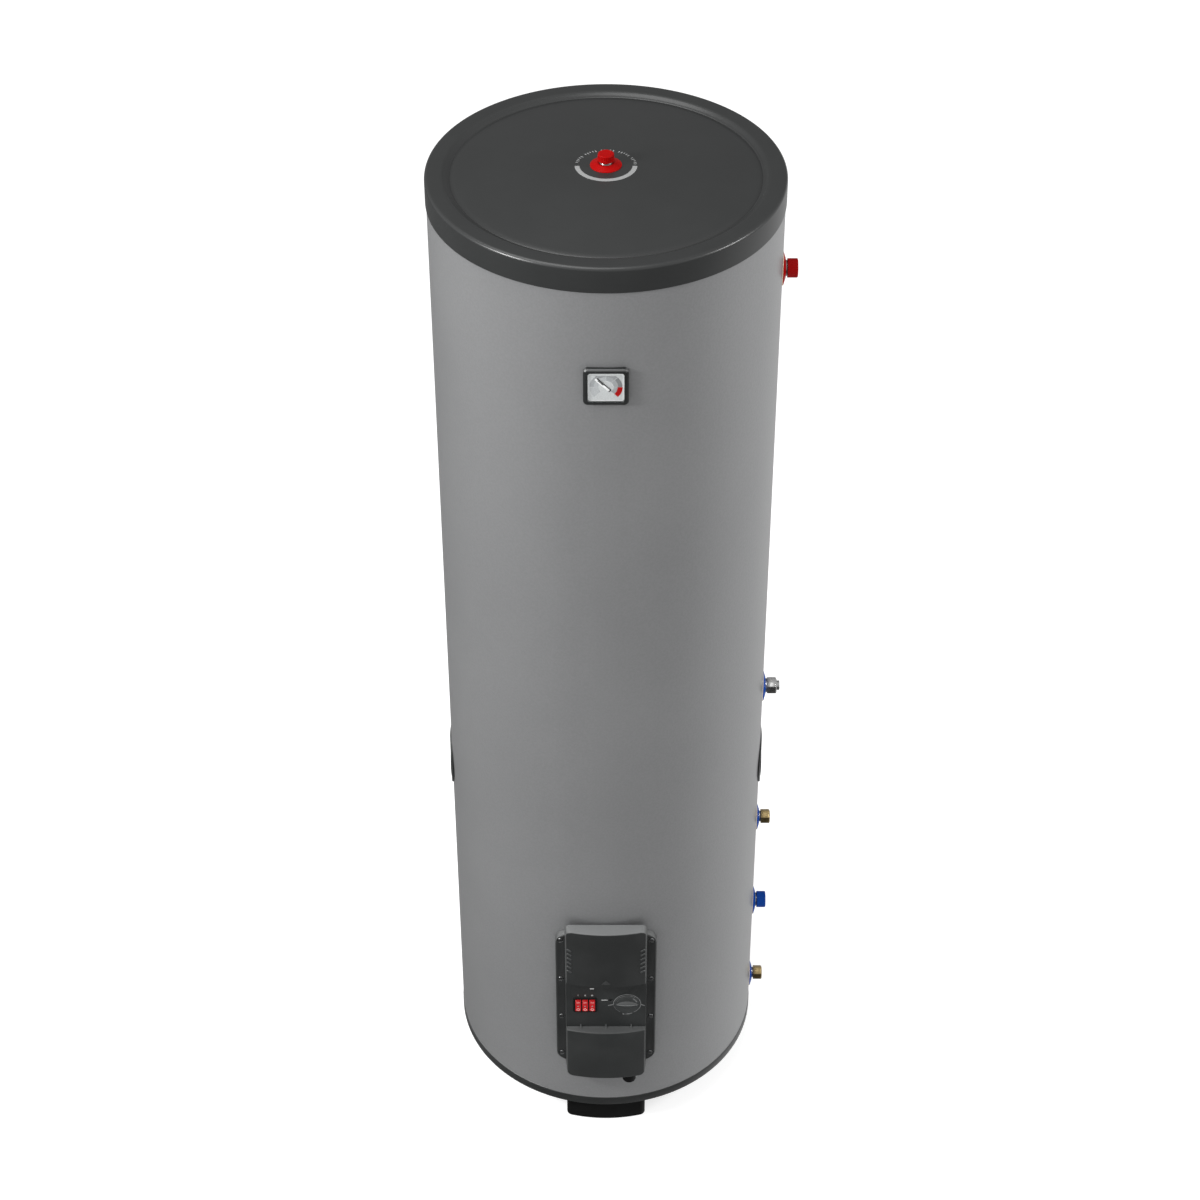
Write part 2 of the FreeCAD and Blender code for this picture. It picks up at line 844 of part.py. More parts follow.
def heating_coil():
    """Coil laid out as straight runs, wound clockwise as it rises, with a lead at each end."""
    steps = coil_turns * coil_sides
    winding = []
    for index in range(1, steps):
        angle = -2 * math.pi * index / coil_sides
        height = coil_bottom_height + coil_pitch * index / coil_sides
        winding.append(
            Vector(coil_radius * math.cos(angle), coil_radius * math.sin(angle), up(height))
        )
    first = [
        Vector(stub_start, 0, up(coil_bottom_height)),
        Vector(coil_radius + coil_lead, 0, up(coil_bottom_height)),
        Vector(coil_radius, -coil_lead, up(coil_bottom_height) + coil_lead_rise),
    ]
    last = [
        Vector(coil_radius, coil_lead, up(coil_top_height) - coil_lead_rise),
        Vector(coil_radius + coil_lead, 0, up(coil_top_height)),
        Vector(stub_start, 0, up(coil_top_height)),
    ]
    return swept(first + winding + last, coil_tube_radius)


def hot_pickup():
    """Pipe from the hot outlet that turns up into the top of the tank in two mitred bends."""
    level = up(hot_height)
    corner = stub_start - pickup_run
    route = [
        Vector(stub_start, 0, level),
        Vector(corner, 0, level),
        Vector(corner - pickup_bend, 0, level + pickup_bend),
        Vector(corner - pickup_bend, 0, level + pickup_bend + pickup_rise),
    ]
    return swept(route, large_stub_radius - stub_wall)


def bolt_places():
    """Sideways place and height of each flange bolt."""
    radius = flange_radius - bolt_margin
    places = []
    for index in range(flange_bolts):
        angle = 2 * math.pi * (index + 0.5) / flange_bolts
        places.append((radius * math.cos(angle), flange_height + radius * math.sin(angle)))
    return places


def flange_ring():
    """Ring welded over the tank's opening, with tapped bolt holes."""
    piece = forward_post(flange_radius, 0, flange_height, tank_radius - spare, ring_front)
    piece = piece.cut(post(tank_radius + weld_gap, 0, up(body_height)))
    piece = piece.cut(forward_post(flange_opening_radius, 0, flange_height, 0, ring_front + over))
    for x, height in bolt_places():
        piece = piece.cut(
            forward_post(bolt_radius + turn_gap, x, height, tank_radius - over, ring_front + over)
        )
    return piece


def flange_gasket():
    piece = forward_post(flange_radius, 0, flange_height, ring_front, gasket_front)
    piece = piece.cut(forward_post(flange_opening_radius, 0, flange_height, 0, gasket_front + over))
    for x, height in bolt_places():
        piece = piece.cut(
            forward_post(bolt_radius + fit_gap, x, height, ring_front - over, gasket_front + over)
        )
    return piece


def element_places():
    """Middle of each element's two legs: sideways place and height."""
    return [
        (-element_offset, flange_height + element_row),
        (element_offset, flange_height + element_row),
        (-element_offset, flange_height - element_row),
    ]


def element_flange():
    piece = forward_post(flange_radius, 0, flange_height, gasket_front, flange_front)
    holes = [(x, height, bolt_radius + fit_gap) for x, height in bolt_places()]
    for x, height in element_places():
        for side in (-0.5, 0.5):
            leg = x + side * element_leg_spacing
            holes.append((leg, height, element_tube_radius + weld_gap))
    holes.append((0.0, flange_height, well_radius + weld_gap))
    for x, height, radius in holes:
        hole = forward_post(radius, x, height, gasket_front - over, flange_front + over)
        piece = piece.cut(hole)
    return piece


def hexagon(width, x, height, back, ahead):
    """Hexagon prism along the front direction, by its width across flats."""
    corners = []
    for index in range(7):
        angle = math.radians(60 * index)
        reach = width / 2 / math.cos(math.radians(30))
        corners.append(front(x + reach * math.cos(angle), height + reach * math.sin(angle), back))
    return Part.Face(Part.makePolygon(corners)).extrude(Vector(0, back - ahead, 0))


def flange_bolt_set():
    """Hexagon bolts that draw the flange onto its gasket."""
    bolts = []
    reach = tank_radius + bolt_end_gap
    for x, height in bolt_places():
        head = hexagon(bolt_head_width, x, height, flange_front, flange_front + bolt_head_height)
        shank = forward_post(bolt_radius, x, height, reach, flange_front + 1)
        bolts.append(head.fuse(shank))
    return Part.makeCompound(bolts)


def heating_element(x, height):
    """Hairpin element: two legs joined by a mitred bend inside the tank."""
    half = element_leg_spacing / 2
    outside = flange_front + element_stub_out
    tip = outside - element_length
    route = [
        front(x - half, height, outside),
        front(x - half, height, tip),
        front(x - half / 3, height, tip - half * 2 / 3),
        front(x + half / 3, height, tip - half * 2 / 3),
        front(x + half, height, tip),
        front(x + half, height, outside),
    ]
    return swept(route, element_tube_radius)


def heating_elements():
    """Three hairpin elements, one for each switch."""
    return Part.makeCompound([heating_element(x, height) for x, height in element_places()])


def anode_rod():
    """Magnesium rod screwed to the inner face of the flange."""
    x = element_offset
    height = flange_height - element_row
    return forward_post(anode_radius, x, height, gasket_front - anode_length, gasket_front)


def sensor_well():
    """Closed tube for the thermostat's bulbs."""
    back = flange_front - well_length
    mouth = flange_front + well_showing
    tube = forward_post(well_radius, 0, flange_height, back, mouth)
    inner = well_radius - well_wall
    return tube.cut(forward_post(inner, 0, flange_height, back + well_end, mouth + over))


def draft_at(depth):
    """Half the housing's width lost to draft at a depth."""
    side = housing_width / 2
    foot_depth_here = math.sqrt(jacket_radius**2 - side**2)
    return (depth - foot_depth_here) * math.tan(math.radians(housing_draft))


def housing_form(inset):
    """Outside of the whole control housing, drawn in by an inset."""
    wires = []
    middle = housing_low + housing_height / 2
    for depth in (jacket_radius - 2 * spare, crown_depth + 2 * over):
        lost = draft_at(depth)
        wires.append(
            rounded_outline(
                housing_width - 2 * lost - 2 * inset,
                housing_height - 2 * inset,
                housing_corner - inset,
                middle,
                depth,
            )
        )
    tapered = Part.makeLoft(wires, True, True)
    radius = housing_crown_radius - inset
    centre_depth = crown_depth - housing_crown_radius
    bowed = post(radius, up(0), up(body_height), 0, -centre_depth)
    return tapered.common(bowed)


def behind_box():
    """Everything the box stands on: the frame's front plane and the jacket's curve."""
    slab = block(2 * frame_width, frame_low, frame_high, 0, frame_depth)
    return around_front(jacket_radius, fit_gap).fuse(slab)


def control_housing():
    """Lower cover, sunk control panel and the tray that the upper cover slides on."""
    form = housing_form(0.0)
    inside = housing_form(housing_wall)
    wide = 2 * housing_width
    lower = form.cut(inside).common(block(wide, 0, ledge_height, 0, far_front))
    ledge = block(wide, ledge_height - housing_wall, ledge_height, panel_back, far_front)
    band = block(wide, ledge_height, split_height, 0, panel_depth)
    hollow_band = block(wide, 0, split_height - housing_wall, 0, panel_back)
    panel = form.common(band).cut(inside.common(hollow_band))
    piece = lower.fuse(form.common(ledge)).fuse(panel)
    for index in (-1, 0, 1):
        piece = piece.fuse(gusset(index * gusset_spacing))
    side = tray_half_width
    back = panel_back
    tray = block(2 * side, split_height - housing_wall, tray_high, 0, panel_depth)
    tray_width = 2 * (side - housing_wall)
    tray_inside = block(tray_width, ledge_height, tray_high - housing_wall, 0, back)
    rails = block(2 * (side + rail_width), split_height - over, tray_high, back, panel_depth)
    piece = piece.fuse(tray).fuse(rails).cut(tray_inside)
    piece = piece.cut(behind_box())
    slot = rounded_block(
        wire_slot_width,
        wire_slot_height,
        wire_slot_corner,
        terminal_middle - terminal_height - wire_slot_height / 2,
        back - over,
        panel_depth + over,
    )
    piece = piece.cut(slot).cut(switch_body(fit_gap))
    bush = shaft_radius + turn_gap + bush_wall + fit_gap
    piece = piece.cut(forward_post(bush, knob_offset, knob_middle, back - over, far_front))
    piece = piece.cut(
        forward_post(reset_hole_radius, reset_offset, reset_middle, back - over, far_front)
    )
    gland_hole = post(
        gland_neck_radius + weld_gap,
        up(housing_low) - over,
        up(housing_low) + housing_wall + over,
        gland_offset,
        -panel_depth,
    )
    return piece.cut(gland_hole).removeSplitter()


def gusset(x):
    """Small triangular web between the ledge and the panel."""
    side = x - gusset_thickness / 2
    foot = ledge_height - gusset_root
    corners = [
        front(side, foot, panel_depth - gusset_root),
        front(side, foot, panel_depth + gusset_depth),
        front(side, ledge_height + gusset_height, panel_depth - gusset_root),
    ]
    face = Part.Face(Part.makePolygon(corners + corners[:1]))
    return face.extrude(Vector(gusset_thickness, 0, 0))


def upper_cover():
    """Hooded cover over the wiring tray. It hooks behind the tray's rails and slides upwards."""
    wide = 2 * housing_width
    above = block(wide, split_height + fit_gap, body_height, 0, far_front)
    form = housing_form(0.0)
    inside = housing_form(housing_wall)
    shell = form.cut(inside).common(above)
    hook_front = panel_back - hook_depth_gap
    for side in (-1, 1):
        inner_edge = tray_half_width + hook_run_gap
        width = housing_width / 2 - inner_edge
        hook = block(
            width,
            split_height + hook_end_gap,
            tray_high - hook_end_gap,
            hook_front - hook_thickness,
            hook_front,
            side * (inner_edge + width / 2),
        )
        shell = shell.fuse(hook.common(form))
    back = block(wide, split_height, housing_high + over, 0, frame_depth + fit_gap)
    shell = shell.cut(back).fuse(grip_ribs())
    return shell.removeSplitter()


def grip_ribs():
    """Slanted ribs along both edges of the cover's front."""
    raised = housing_form(-rib_proud).cut(housing_form(rib_root))
    edge = housing_width / 2 - draft_at((panel_depth + crown_depth) / 2)
    ribs = []
    for side in (-1, 1):
        for index in range(rib_count):
            height = split_height + rib_above_split + rib_pitch * index
            x = side * (edge - rib_reach / 2 - rib_edge_gap)
            bar = block(
                rib_reach, height, height + rib_thickness, panel_depth + over, far_front, x
            )
            centre = front(x, height + rib_thickness / 2, panel_depth)
            bar.rotate(centre, Vector(0, -1, 0), side * rib_lean)
            ribs.append(bar.common(raised))
    joined = ribs[0]
    for bar in ribs[1:]:
        joined = joined.fuse(bar)
    return joined


def mounting_frame():
    """Flat frame behind the housing, its back curved to the jacket."""
    middle = frame_low + frame_height / 2
    frame_back = jacket_radius - 2 * spare
    piece = rounded_block(
        frame_width, frame_height, frame_corner, middle, frame_back, frame_depth
    )
    piece = piece.makeChamfer(
        frame_edge_bevel, edges_at(piece, lambda p: abs(p.y + frame_depth) < 0.01)
    )
    inner = 2 * (tray_half_width - housing_wall)
    window = rounded_block(
        inner, opening_height, opening_corner, middle, frame_back - over, frame_depth + over
    )
    piece = piece.cut(window).cut(around_front(jacket_radius, fit_gap))
    for x, height in screw_places():
        piece = piece.cut(
            forward_post(
                screw_radius + turn_gap, x, height, frame_back - over, frame_depth + over
            )
        )
        piece = piece.cut(
            forward_post(screw_recess_radius, x, height, screw_seat, frame_depth + over)
        )
    return piece


def screw_places():
    """Sideways place and height of each screw in the frame."""
    places = []
    for side in (-0.5, 0.5):
        for row in range(screw_rows):
            places.append((side * screw_spacing, frame_low + screw_low + row * screw_pitch))
    return places


def screw_holes():
    """Holes behind the frame for its screws."""
    return [
        forward_post(screw_radius + weld_gap, x, height, screw_seat - screw_length - over, frame_depth)
        for x, height in screw_places()
    ]


def frame_screws():
    screws = []
    for x, height in screw_places():
        head = Part.makeCone(
            screw_head_radius,
            screw_head_radius * screw_head_taper,
            screw_head_height,
            front(x, height, screw_seat),
            Vector(0, -1, 0),
        )
        shank = forward_post(screw_radius, x, height, screw_seat - screw_length, screw_seat + over)
        screws.append(head.fuse(shank))
    return Part.makeCompound(screws)


def switch_body(margin):
    """Part of the switch block that passes through the panel."""
    return block(
        switch_width - 2 * switch_body_margin + 2 * margin,
        switch_middle - switch_height / 2 + switch_body_margin - margin,
        switch_middle + switch_height / 2 - switch_body_margin + margin,
        panel_depth - switch_depth,
        panel_depth + over,
        switch_offset,
    )


def rocker_places():
    """Sideways middle of each rocker."""
    middle = (rocker_count - 1) / 2
    return [switch_offset + (index - middle) * rocker_pitch for index in range(rocker_count)]


def switch_frame():
    """Bezel and body of the switch block, with a pocket and pin bores for each rocker."""
    rim = rounded_block(
        switch_width,
        switch_height,
        switch_corner,
        switch_middle,
        panel_depth,
        switch_front,
        switch_offset,
    )
    rim = rim.makeChamfer(switch_rim_bevel, edges_at(rim, lambda p: abs(p.y + switch_front) < 0.01))
    piece = rim.fuse(switch_body(0.0))
    half = rocker_length / 2 + rocker_side_gap
    for x in rocker_places():
        piece = piece.cut(
            block(
                rocker_width + 2 * rocker_side_gap,
                switch_middle - half,
                switch_middle + half,
                rocker_pivot - rocker_well,
                switch_front + over,
                x,
            )
        )
        piece = piece.cut(rocker_pin(x, rocker_pin_reach + rocker_pin_end_gap, turn_gap))
    return piece.removeSplitter()


def rocker_pin(x, reach, gap):
    """Pivot pin through a rocker."""
    half = rocker_width / 2 + reach
    start = front(x - half, switch_middle, rocker_pivot)
    return Part.makeCylinder(rocker_pin_radius + gap, 2 * half, start, Vector(1, 0, 0))


def rocker(x):
    """Rocker with a hollowed face and ends curved about its pivot, its lower half pressed."""
    radius = rocker_length / 2
    low, high = math.radians(rocker_end_low), math.radians(rocker_end_high)
    left = x - rocker_width / 2

    def place(up_share, out):
        return front(left, switch_middle + up_share, rocker_pivot + out)

    def on_end(angle, sign):
        return place(sign * radius * math.cos(angle), radius * math.sin(angle))

    middle = (low + high) / 2
    dip = radius * math.sin(high) - rocker_hollow
    keel = rocker_keel
    edges = [
        Part.Arc(on_end(low, 1), on_end(middle, 1), on_end(high, 1)).toShape(),
        Part.LineSegment(on_end(high, 1), place(0, dip)).toShape(),
        Part.LineSegment(place(0, dip), on_end(high, -1)).toShape(),
        Part.Arc(on_end(high, -1), on_end(middle, -1), on_end(low, -1)).toShape(),
        Part.LineSegment(on_end(low, -1), place(-keel, -keel)).toShape(),
        Part.LineSegment(place(-keel, -keel), place(keel, -keel)).toShape(),
        Part.LineSegment(place(keel, -keel), on_end(low, 1)).toShape(),
    ]
    piece = Part.Face(Part.Wire(edges)).extrude(Vector(rocker_width, 0, 0))
    piece = piece.fuse(rocker_pin(x, rocker_pin_reach, 0.0))
    piece.rotate(front(x, switch_middle, rocker_pivot), Vector(1, 0, 0), rocker_lean)
    return piece


def knob_side(side):
    """Leaning cylinder that bounds one side of the knob's ridge."""
    half = knob_grip_length / 2
    slope = knob_grip_width / 2 / knob_grip_peak
    wide = knob_grip_width / 2 + knob_grip_root * slope
    radius = (half**2 + wide**2) / (2 * wide)
    base = Vector(0, side * (wide - radius), knob_thickness - knob_grip_root)
    outline = Part.Wire(Part.makeCircle(radius, base))
    rise = knob_grip_root + knob_grip_peak
    return Part.Face(outline).extrude(Vector(0, -side * slope * rise, rise))


def knob():
    """Round knob with a boat-shaped ridge across it."""
    outline = [
        (0.0, 0.0),
        (knob_radius, 0.0),
        (knob_radius, knob_thickness - knob_edge),
        (knob_radius - knob_edge, knob_thickness),
        (0.0, knob_thickness),
    ]
    disc = turned(outline)
    half = knob_grip_length / 2
    top = knob_thickness + knob_grip_height
    bow = (half**2 + knob_grip_height**2) / (2 * knob_grip_height)
    crest = Part.makeCylinder(
        bow, 2 * knob_grip_width, Vector(0, -knob_grip_width, top - bow), Vector(0, 1, 0)
    )
    grip = knob_side(1).common(knob_side(-1)).common(crest)
    piece = disc.fuse(grip).removeSplitter()
    piece = piece.cut(post(shaft_radius + turn_gap, -1, shaft_in_knob + weld_gap))
    piece.rotate(Vector(0, 0, 0), Vector(1, 0, 0), 90)
    piece.translate(front(knob_offset, knob_middle, knob_back))
    return piece


def thermostat():
    """Capillary thermostat on the back of the panel, with a bush for its shaft."""
    half = thermostat_width / 2
    piece = block(
        thermostat_width,
        knob_middle - half,
        knob_middle + half,
        thermostat_back,
        panel_back,
        knob_offset,
    )
    bush_radius = shaft_radius + turn_gap + bush_wall
    bush = forward_post(
        bush_radius, knob_offset, knob_middle, panel_back - over, panel_depth
    )
    bore = forward_post(
        shaft_radius + turn_gap,
        knob_offset,
        knob_middle,
        thermostat_back + thermostat_bore_floor,
        panel_depth + 1,
    )
    return piece.fuse(bush).cut(bore)


def thermostat_shaft():
    return forward_post(
        shaft_radius,
        knob_offset,
        knob_middle,
        thermostat_back + thermostat_bore_floor + weld_gap,
        knob_back + shaft_in_knob,
    )


def safety_cutout():
    """Overheat cut-out on the back of the panel, bored for its reset pin."""
    piece = block(
        cutout_width,
        reset_middle - cutout_height / 2,
        reset_middle + cutout_height / 2,
        panel_back - cutout_depth,
        panel_back,
        reset_offset + cutout_offset,
    )
    bore = forward_post(
        reset_radius + turn_gap,
        reset_offset,
        reset_middle,
        reset_back - reset_travel - 1,
        panel_depth,
    )
    return piece.cut(bore)


def reset_button():
    return forward_post(reset_radius, reset_offset, reset_middle, reset_back, reset_front)


def terminal_places():
    middle = (terminal_ways - 1) / 2
    return [(index - middle) * terminal_pitch for index in range(terminal_ways)]


def terminal_block():
    width = terminal_ways * terminal_pitch + 2 * terminal_end
    piece = block(
        width,
        terminal_middle - terminal_height / 2,
        terminal_middle + terminal_height / 2,
        panel_depth,
        panel_depth + terminal_thickness,
    )
    for x in terminal_places():
        for side in (-1, 1):
            height = terminal_middle + side * terminal_height / 4
            half = terminal_well / 2
            floor = panel_depth + terminal_well_floor
            piece = piece.cut(
                block(terminal_well, height - half, height + half, floor, far_front, x)
            )
    for x in terminal_places()[:-1]:
        slit = block(
            terminal_slit,
            terminal_middle - terminal_height,
            terminal_middle + terminal_height,
            panel_depth + terminal_slit_floor,
            far_front,
            x + terminal_pitch / 2,
        )
        piece = piece.cut(slit)
    return piece


def terminal_screws():
    floor = panel_depth + terminal_well_floor
    top = panel_depth + terminal_screw_top
    screws = []
    for x in terminal_places():
        for side in (-1, 1):
            height = terminal_middle + side * terminal_height / 4
            screws.append(forward_post(terminal_screw_radius, x, height, floor, top))
    return Part.makeCompound(screws)


def cable_gland():
    """Gland through the floor of the housing, bored for the supply cable."""
    outline = [
        (gland_bore_radius, -gland_drop),
        (gland_dome_radius - gland_dome_round, -gland_drop),
        (gland_dome_radius, -gland_drop + gland_dome_round),
        (gland_dome_radius, -gland_flange - gland_flange_slope),
        (gland_radius, -gland_flange),
        (gland_radius, 0.0),
        (gland_neck_radius, 0.0),
        (gland_neck_radius, housing_wall + gland_nut),
        (gland_bore_radius, housing_wall + gland_nut),
    ]
    piece = turned(outline)
    piece.translate(front(gland_offset, housing_low, panel_depth))
    return piece


def gauge_case():
    """Square bezel with a sunk window, and a round spigot through the jacket."""
    piece = rounded_block(
        gauge_width, gauge_height, gauge_corner, gauge_middle, jacket_radius - spare, gauge_front
    )
    piece = piece.makeChamfer(
        gauge_edge_bevel, edges_at(piece, lambda p: abs(p.y + gauge_front) < 0.01)
    )
    piece = piece.cut(around_front(jacket_radius, weld_gap))
    spigot = forward_post(
        spigot_radius, 0, gauge_middle, jacket_radius - spigot_depth, window_floor
    )
    window = rounded_block(
        window_width, window_height, window_corner, gauge_middle, window_floor, gauge_front + over
    )
    piece = piece.fuse(spigot).cut(window)
    bore = forward_post(
        spindle_radius + turn_gap, 0, gauge_middle, spindle_back - spindle_end_gap, gauge_front
    )
    return piece.cut(bore).removeSplitter()


def gauge_dial():
    plate = rounded_block(
        window_width - 2 * weld_gap,
        window_height - 2 * weld_gap,
        window_corner,
        gauge_middle,
        window_floor,
        dial_front,
    )
    radius = spindle_radius + spindle_hole_gap
    hole = forward_post(radius, 0, gauge_middle, window_floor - over, dial_front + over)
    return plate.cut(hole)


def gauge_needle():
    """Flat pointer with a slot, on a hub and spindle."""
    back, ahead = needle_back, needle_back + needle_thickness
    length = needle_tip + needle_tail
    bar = block(
        length,
        gauge_middle - needle_width / 2,
        gauge_middle + needle_width / 2,
        back,
        ahead,
        (needle_tip - needle_tail) / 2,
    )
    slot = block(
        needle_slot_to - needle_slot_from,
        gauge_middle - needle_slot_width / 2,
        gauge_middle + needle_slot_width / 2,
        back - over,
        ahead + over,
        (needle_slot_from + needle_slot_to) / 2,
    )
    hub = forward_post(needle_hub_radius, 0, gauge_middle, back, ahead + needle_hub_rise)
    spindle = forward_post(spindle_radius, 0, gauge_middle, spindle_back, ahead)
    piece = bar.cut(slot).fuse(hub).fuse(spindle)
    piece.rotate(front(0, gauge_middle, 0), Vector(0, -1, 0), needle_angle)
    return piece


def gauge_lens():
    ahead = gauge_front - lens_sunk
    return rounded_block(
        window_width - 2 * weld_gap,
        window_height - 2 * weld_gap,
        window_corner,
        gauge_middle,
        ahead - lens_thickness,
        ahead,
    )


def handle():
    """Round carrying grip on the +X side: a flange and a cup with an undercut lip."""
    flange = side_hole(handle_height, handle_radius, tank_radius, jacket_radius + spare)
    outer = jacket_radius + handle_proud
    barrel = turned(
        [
            (0.0, -handle_radius),
            (outer - handle_fall, -handle_radius),
            (outer, -handle_flat),
            (outer, handle_flat),
            (outer - handle_fall, handle_radius),
            (0.0, handle_radius),
        ],
        up(handle_height),
    )
    flange = flange.common(barrel).cut(around_front(jacket_radius, weld_gap))
    cup = side_hole(handle_height, cup_radius, tank_radius, jacket_radius + over)
    cup = cup.cut(post(jacket_radius - cup_depth, 0, up(body_height)))
    piece = flange.fuse(cup)
    inner = jacket_radius - cup_depth + cup_wall
    pocket_radius = cup_radius - cup_wall
    pocket = side_hole(handle_height, pocket_radius, inner, jacket_radius + spare)
    pocket = pocket.cut(post(inner, 0, up(body_height)))
    edge = up(handle_height + lip_edge)
    wide = 4 * cup_radius
    tall = 2 * cup_radius
    lip = Part.makeBox(tall, wide, tall, Vector(outer - lip_thickness, -wide / 2, edge))
    back_edge = edge + lip_undercut - lip_edge
    back_block = Part.makeBox(tall, wide, tall, Vector(outer - tall, -wide / 2, back_edge))
    pocket = pocket.cut(lip).cut(back_block)
    return piece.cut(pocket).removeSplitter()


def mirrored_handle():
    piece = handle()
    piece.rotate(Vector(0, 0, 0), Vector(0, 0, 1), 180)
    return piece


def pieces():
    """Every piece by its name."""
    made = {
        "jacket": jacket(),
        "top_lid": top_lid(),
        "base_pan": base_pan(),
        "foot_front": foot(0),
        "foot_right": foot(360 / foot_count),
        "foot_left": foot(720 / foot_count),
        "levelling_feet": levelling_feet(),
        "insulation": insulation(),
        "tank_shell": tank_shell(),
        "tank_top_head": tank_top_head(),
        "tank_bottom_head": tank_bottom_head(),
        "heating_coil": heating_coil(),
        "hot_pickup_pipe": hot_pickup(),
        "flange_ring": flange_ring(),
        "flange_gasket": flange_gasket(),
        "element_flange": element_flange(),
        "flange_bolts": flange_bolt_set(),
        "heating_elements": heating_elements(),
        "anode_rod": anode_rod(),
        "sensor_well": sensor_well(),
        "safety_port_stub": top_stub(),
        "safety_port_rosette": top_rosette(),
        "safety_port_cap": top_cap(),
        "control_housing": control_housing(),
        "upper_cover": upper_cover(),
        "mounting_frame": mounting_frame(),
        "frame_screws": frame_screws(),
        "switch_frame": switch_frame(),
        "knob": knob(),
        "thermostat": thermostat(),
        "thermostat_shaft": thermostat_shaft(),
        "safety_cutout": safety_cutout(),
        "reset_button": reset_button(),
        "terminal_block": terminal_block(),
        "terminal_screws": terminal_screws(),
        "cable_gland": cable_gland(),
        "gauge_case": gauge_case(),
        "gauge_dial": gauge_dial(),
        "gauge_needle": gauge_needle(),
        "gauge_lens": gauge_lens(),
        "handle_right": handle(),
        "handle_left": mirrored_handle(),
    }
    for number, x in enumerate(rocker_places(), 1):
        made[f"rocker_{number}"] = rocker(x)
    for name, height, radius in side_ports():
        made[f"{name}_stub"] = side_stub(height, radius)
        made[f"{name}_rosette"] = side_rosette(height, radius)
    made["hot_outlet_cap"] = side_cap(hot_height, large_stub_radius, cap_facets, cap_wall)
    made["cold_inlet_cap"] = side_cap(cold_height, large_stub_radius, cap_facets, cap_wall)
    made["coil_inlet_cap"] = side_cap(coil_top_height, small_stub_radius, hexagon_sides, coil_cap_wall)
    made["coil_outlet_cap"] = side_cap(coil_bottom_height, small_stub_radius, hexagon_sides, coil_cap_wall)
    made["recirculation_plug"] = recirculation_plug()
    return made


def main():
    os.makedirs("parts", exist_ok=True)
    for name, shape in pieces().items():
        solids = shape.Solids
        sound = all(solid.isValid() for solid in solids)
        print(f"{name}: {len(solids)} solid(s), valid {sound}, {shape.Volume / 1000:.1f} cm3")
        shape.exportStep(f"parts/{name}.step")


main()
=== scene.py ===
import json
import math

import bmesh
import bpy
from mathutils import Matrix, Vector


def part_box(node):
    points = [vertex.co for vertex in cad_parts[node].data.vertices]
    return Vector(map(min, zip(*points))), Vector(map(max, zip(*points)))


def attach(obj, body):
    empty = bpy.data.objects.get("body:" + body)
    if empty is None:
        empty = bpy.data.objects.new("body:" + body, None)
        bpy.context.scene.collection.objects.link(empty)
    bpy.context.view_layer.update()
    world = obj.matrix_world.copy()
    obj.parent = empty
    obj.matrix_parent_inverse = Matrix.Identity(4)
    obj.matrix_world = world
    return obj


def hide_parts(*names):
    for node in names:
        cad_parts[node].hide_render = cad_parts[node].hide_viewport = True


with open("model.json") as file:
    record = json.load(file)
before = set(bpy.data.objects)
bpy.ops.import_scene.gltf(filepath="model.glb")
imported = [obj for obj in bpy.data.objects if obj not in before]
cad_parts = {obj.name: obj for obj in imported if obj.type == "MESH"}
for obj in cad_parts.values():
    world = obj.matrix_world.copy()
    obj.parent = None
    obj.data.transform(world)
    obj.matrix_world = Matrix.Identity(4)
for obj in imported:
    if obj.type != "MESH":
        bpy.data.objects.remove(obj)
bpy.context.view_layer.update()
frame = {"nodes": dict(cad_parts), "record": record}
nodes = frame["nodes"]
record = frame["record"]
bodyOf = {node: body for body, group in record["behaviour"]["bodies"].items() for node in group}
slotOf = {row["node"]: row["material_slot"] for row in record["subparts"]}
mm = 0.001  # in metres
print("frame loaded:", len(nodes), "nodes")


# shader helpers

# faces that look up or sideways get a paler colour, a painted highlight; these spans set how it
# fades with facing
paintedLightFacing = {"sideways": (0.15, 0.75), "below": (-0.6, -0.1), "above": (0.25, 0.85)}


class Wire:
    # one output socket of a material; arithmetic on it adds Math nodes
    def __init__(self, sheet, socket):
        self.sheet = sheet
        self.socket = socket

    def maths(self, operation, *values):
        return self.sheet.node("ShaderNodeMath", {"operation": operation}, dict(enumerate(values)))

    def __add__(self, other):
        return self.maths("ADD", self, other)

    def __sub__(self, other):
        return self.maths("SUBTRACT", self, other)

    def __rsub__(self, other):
        return self.maths("SUBTRACT", other, self)

    def __mul__(self, other):
        return self.maths("MULTIPLY", self, other)

    def __abs__(self):
        return self.maths("ABSOLUTE", self)

    __radd__ = __add__
    __rmul__ = __mul__


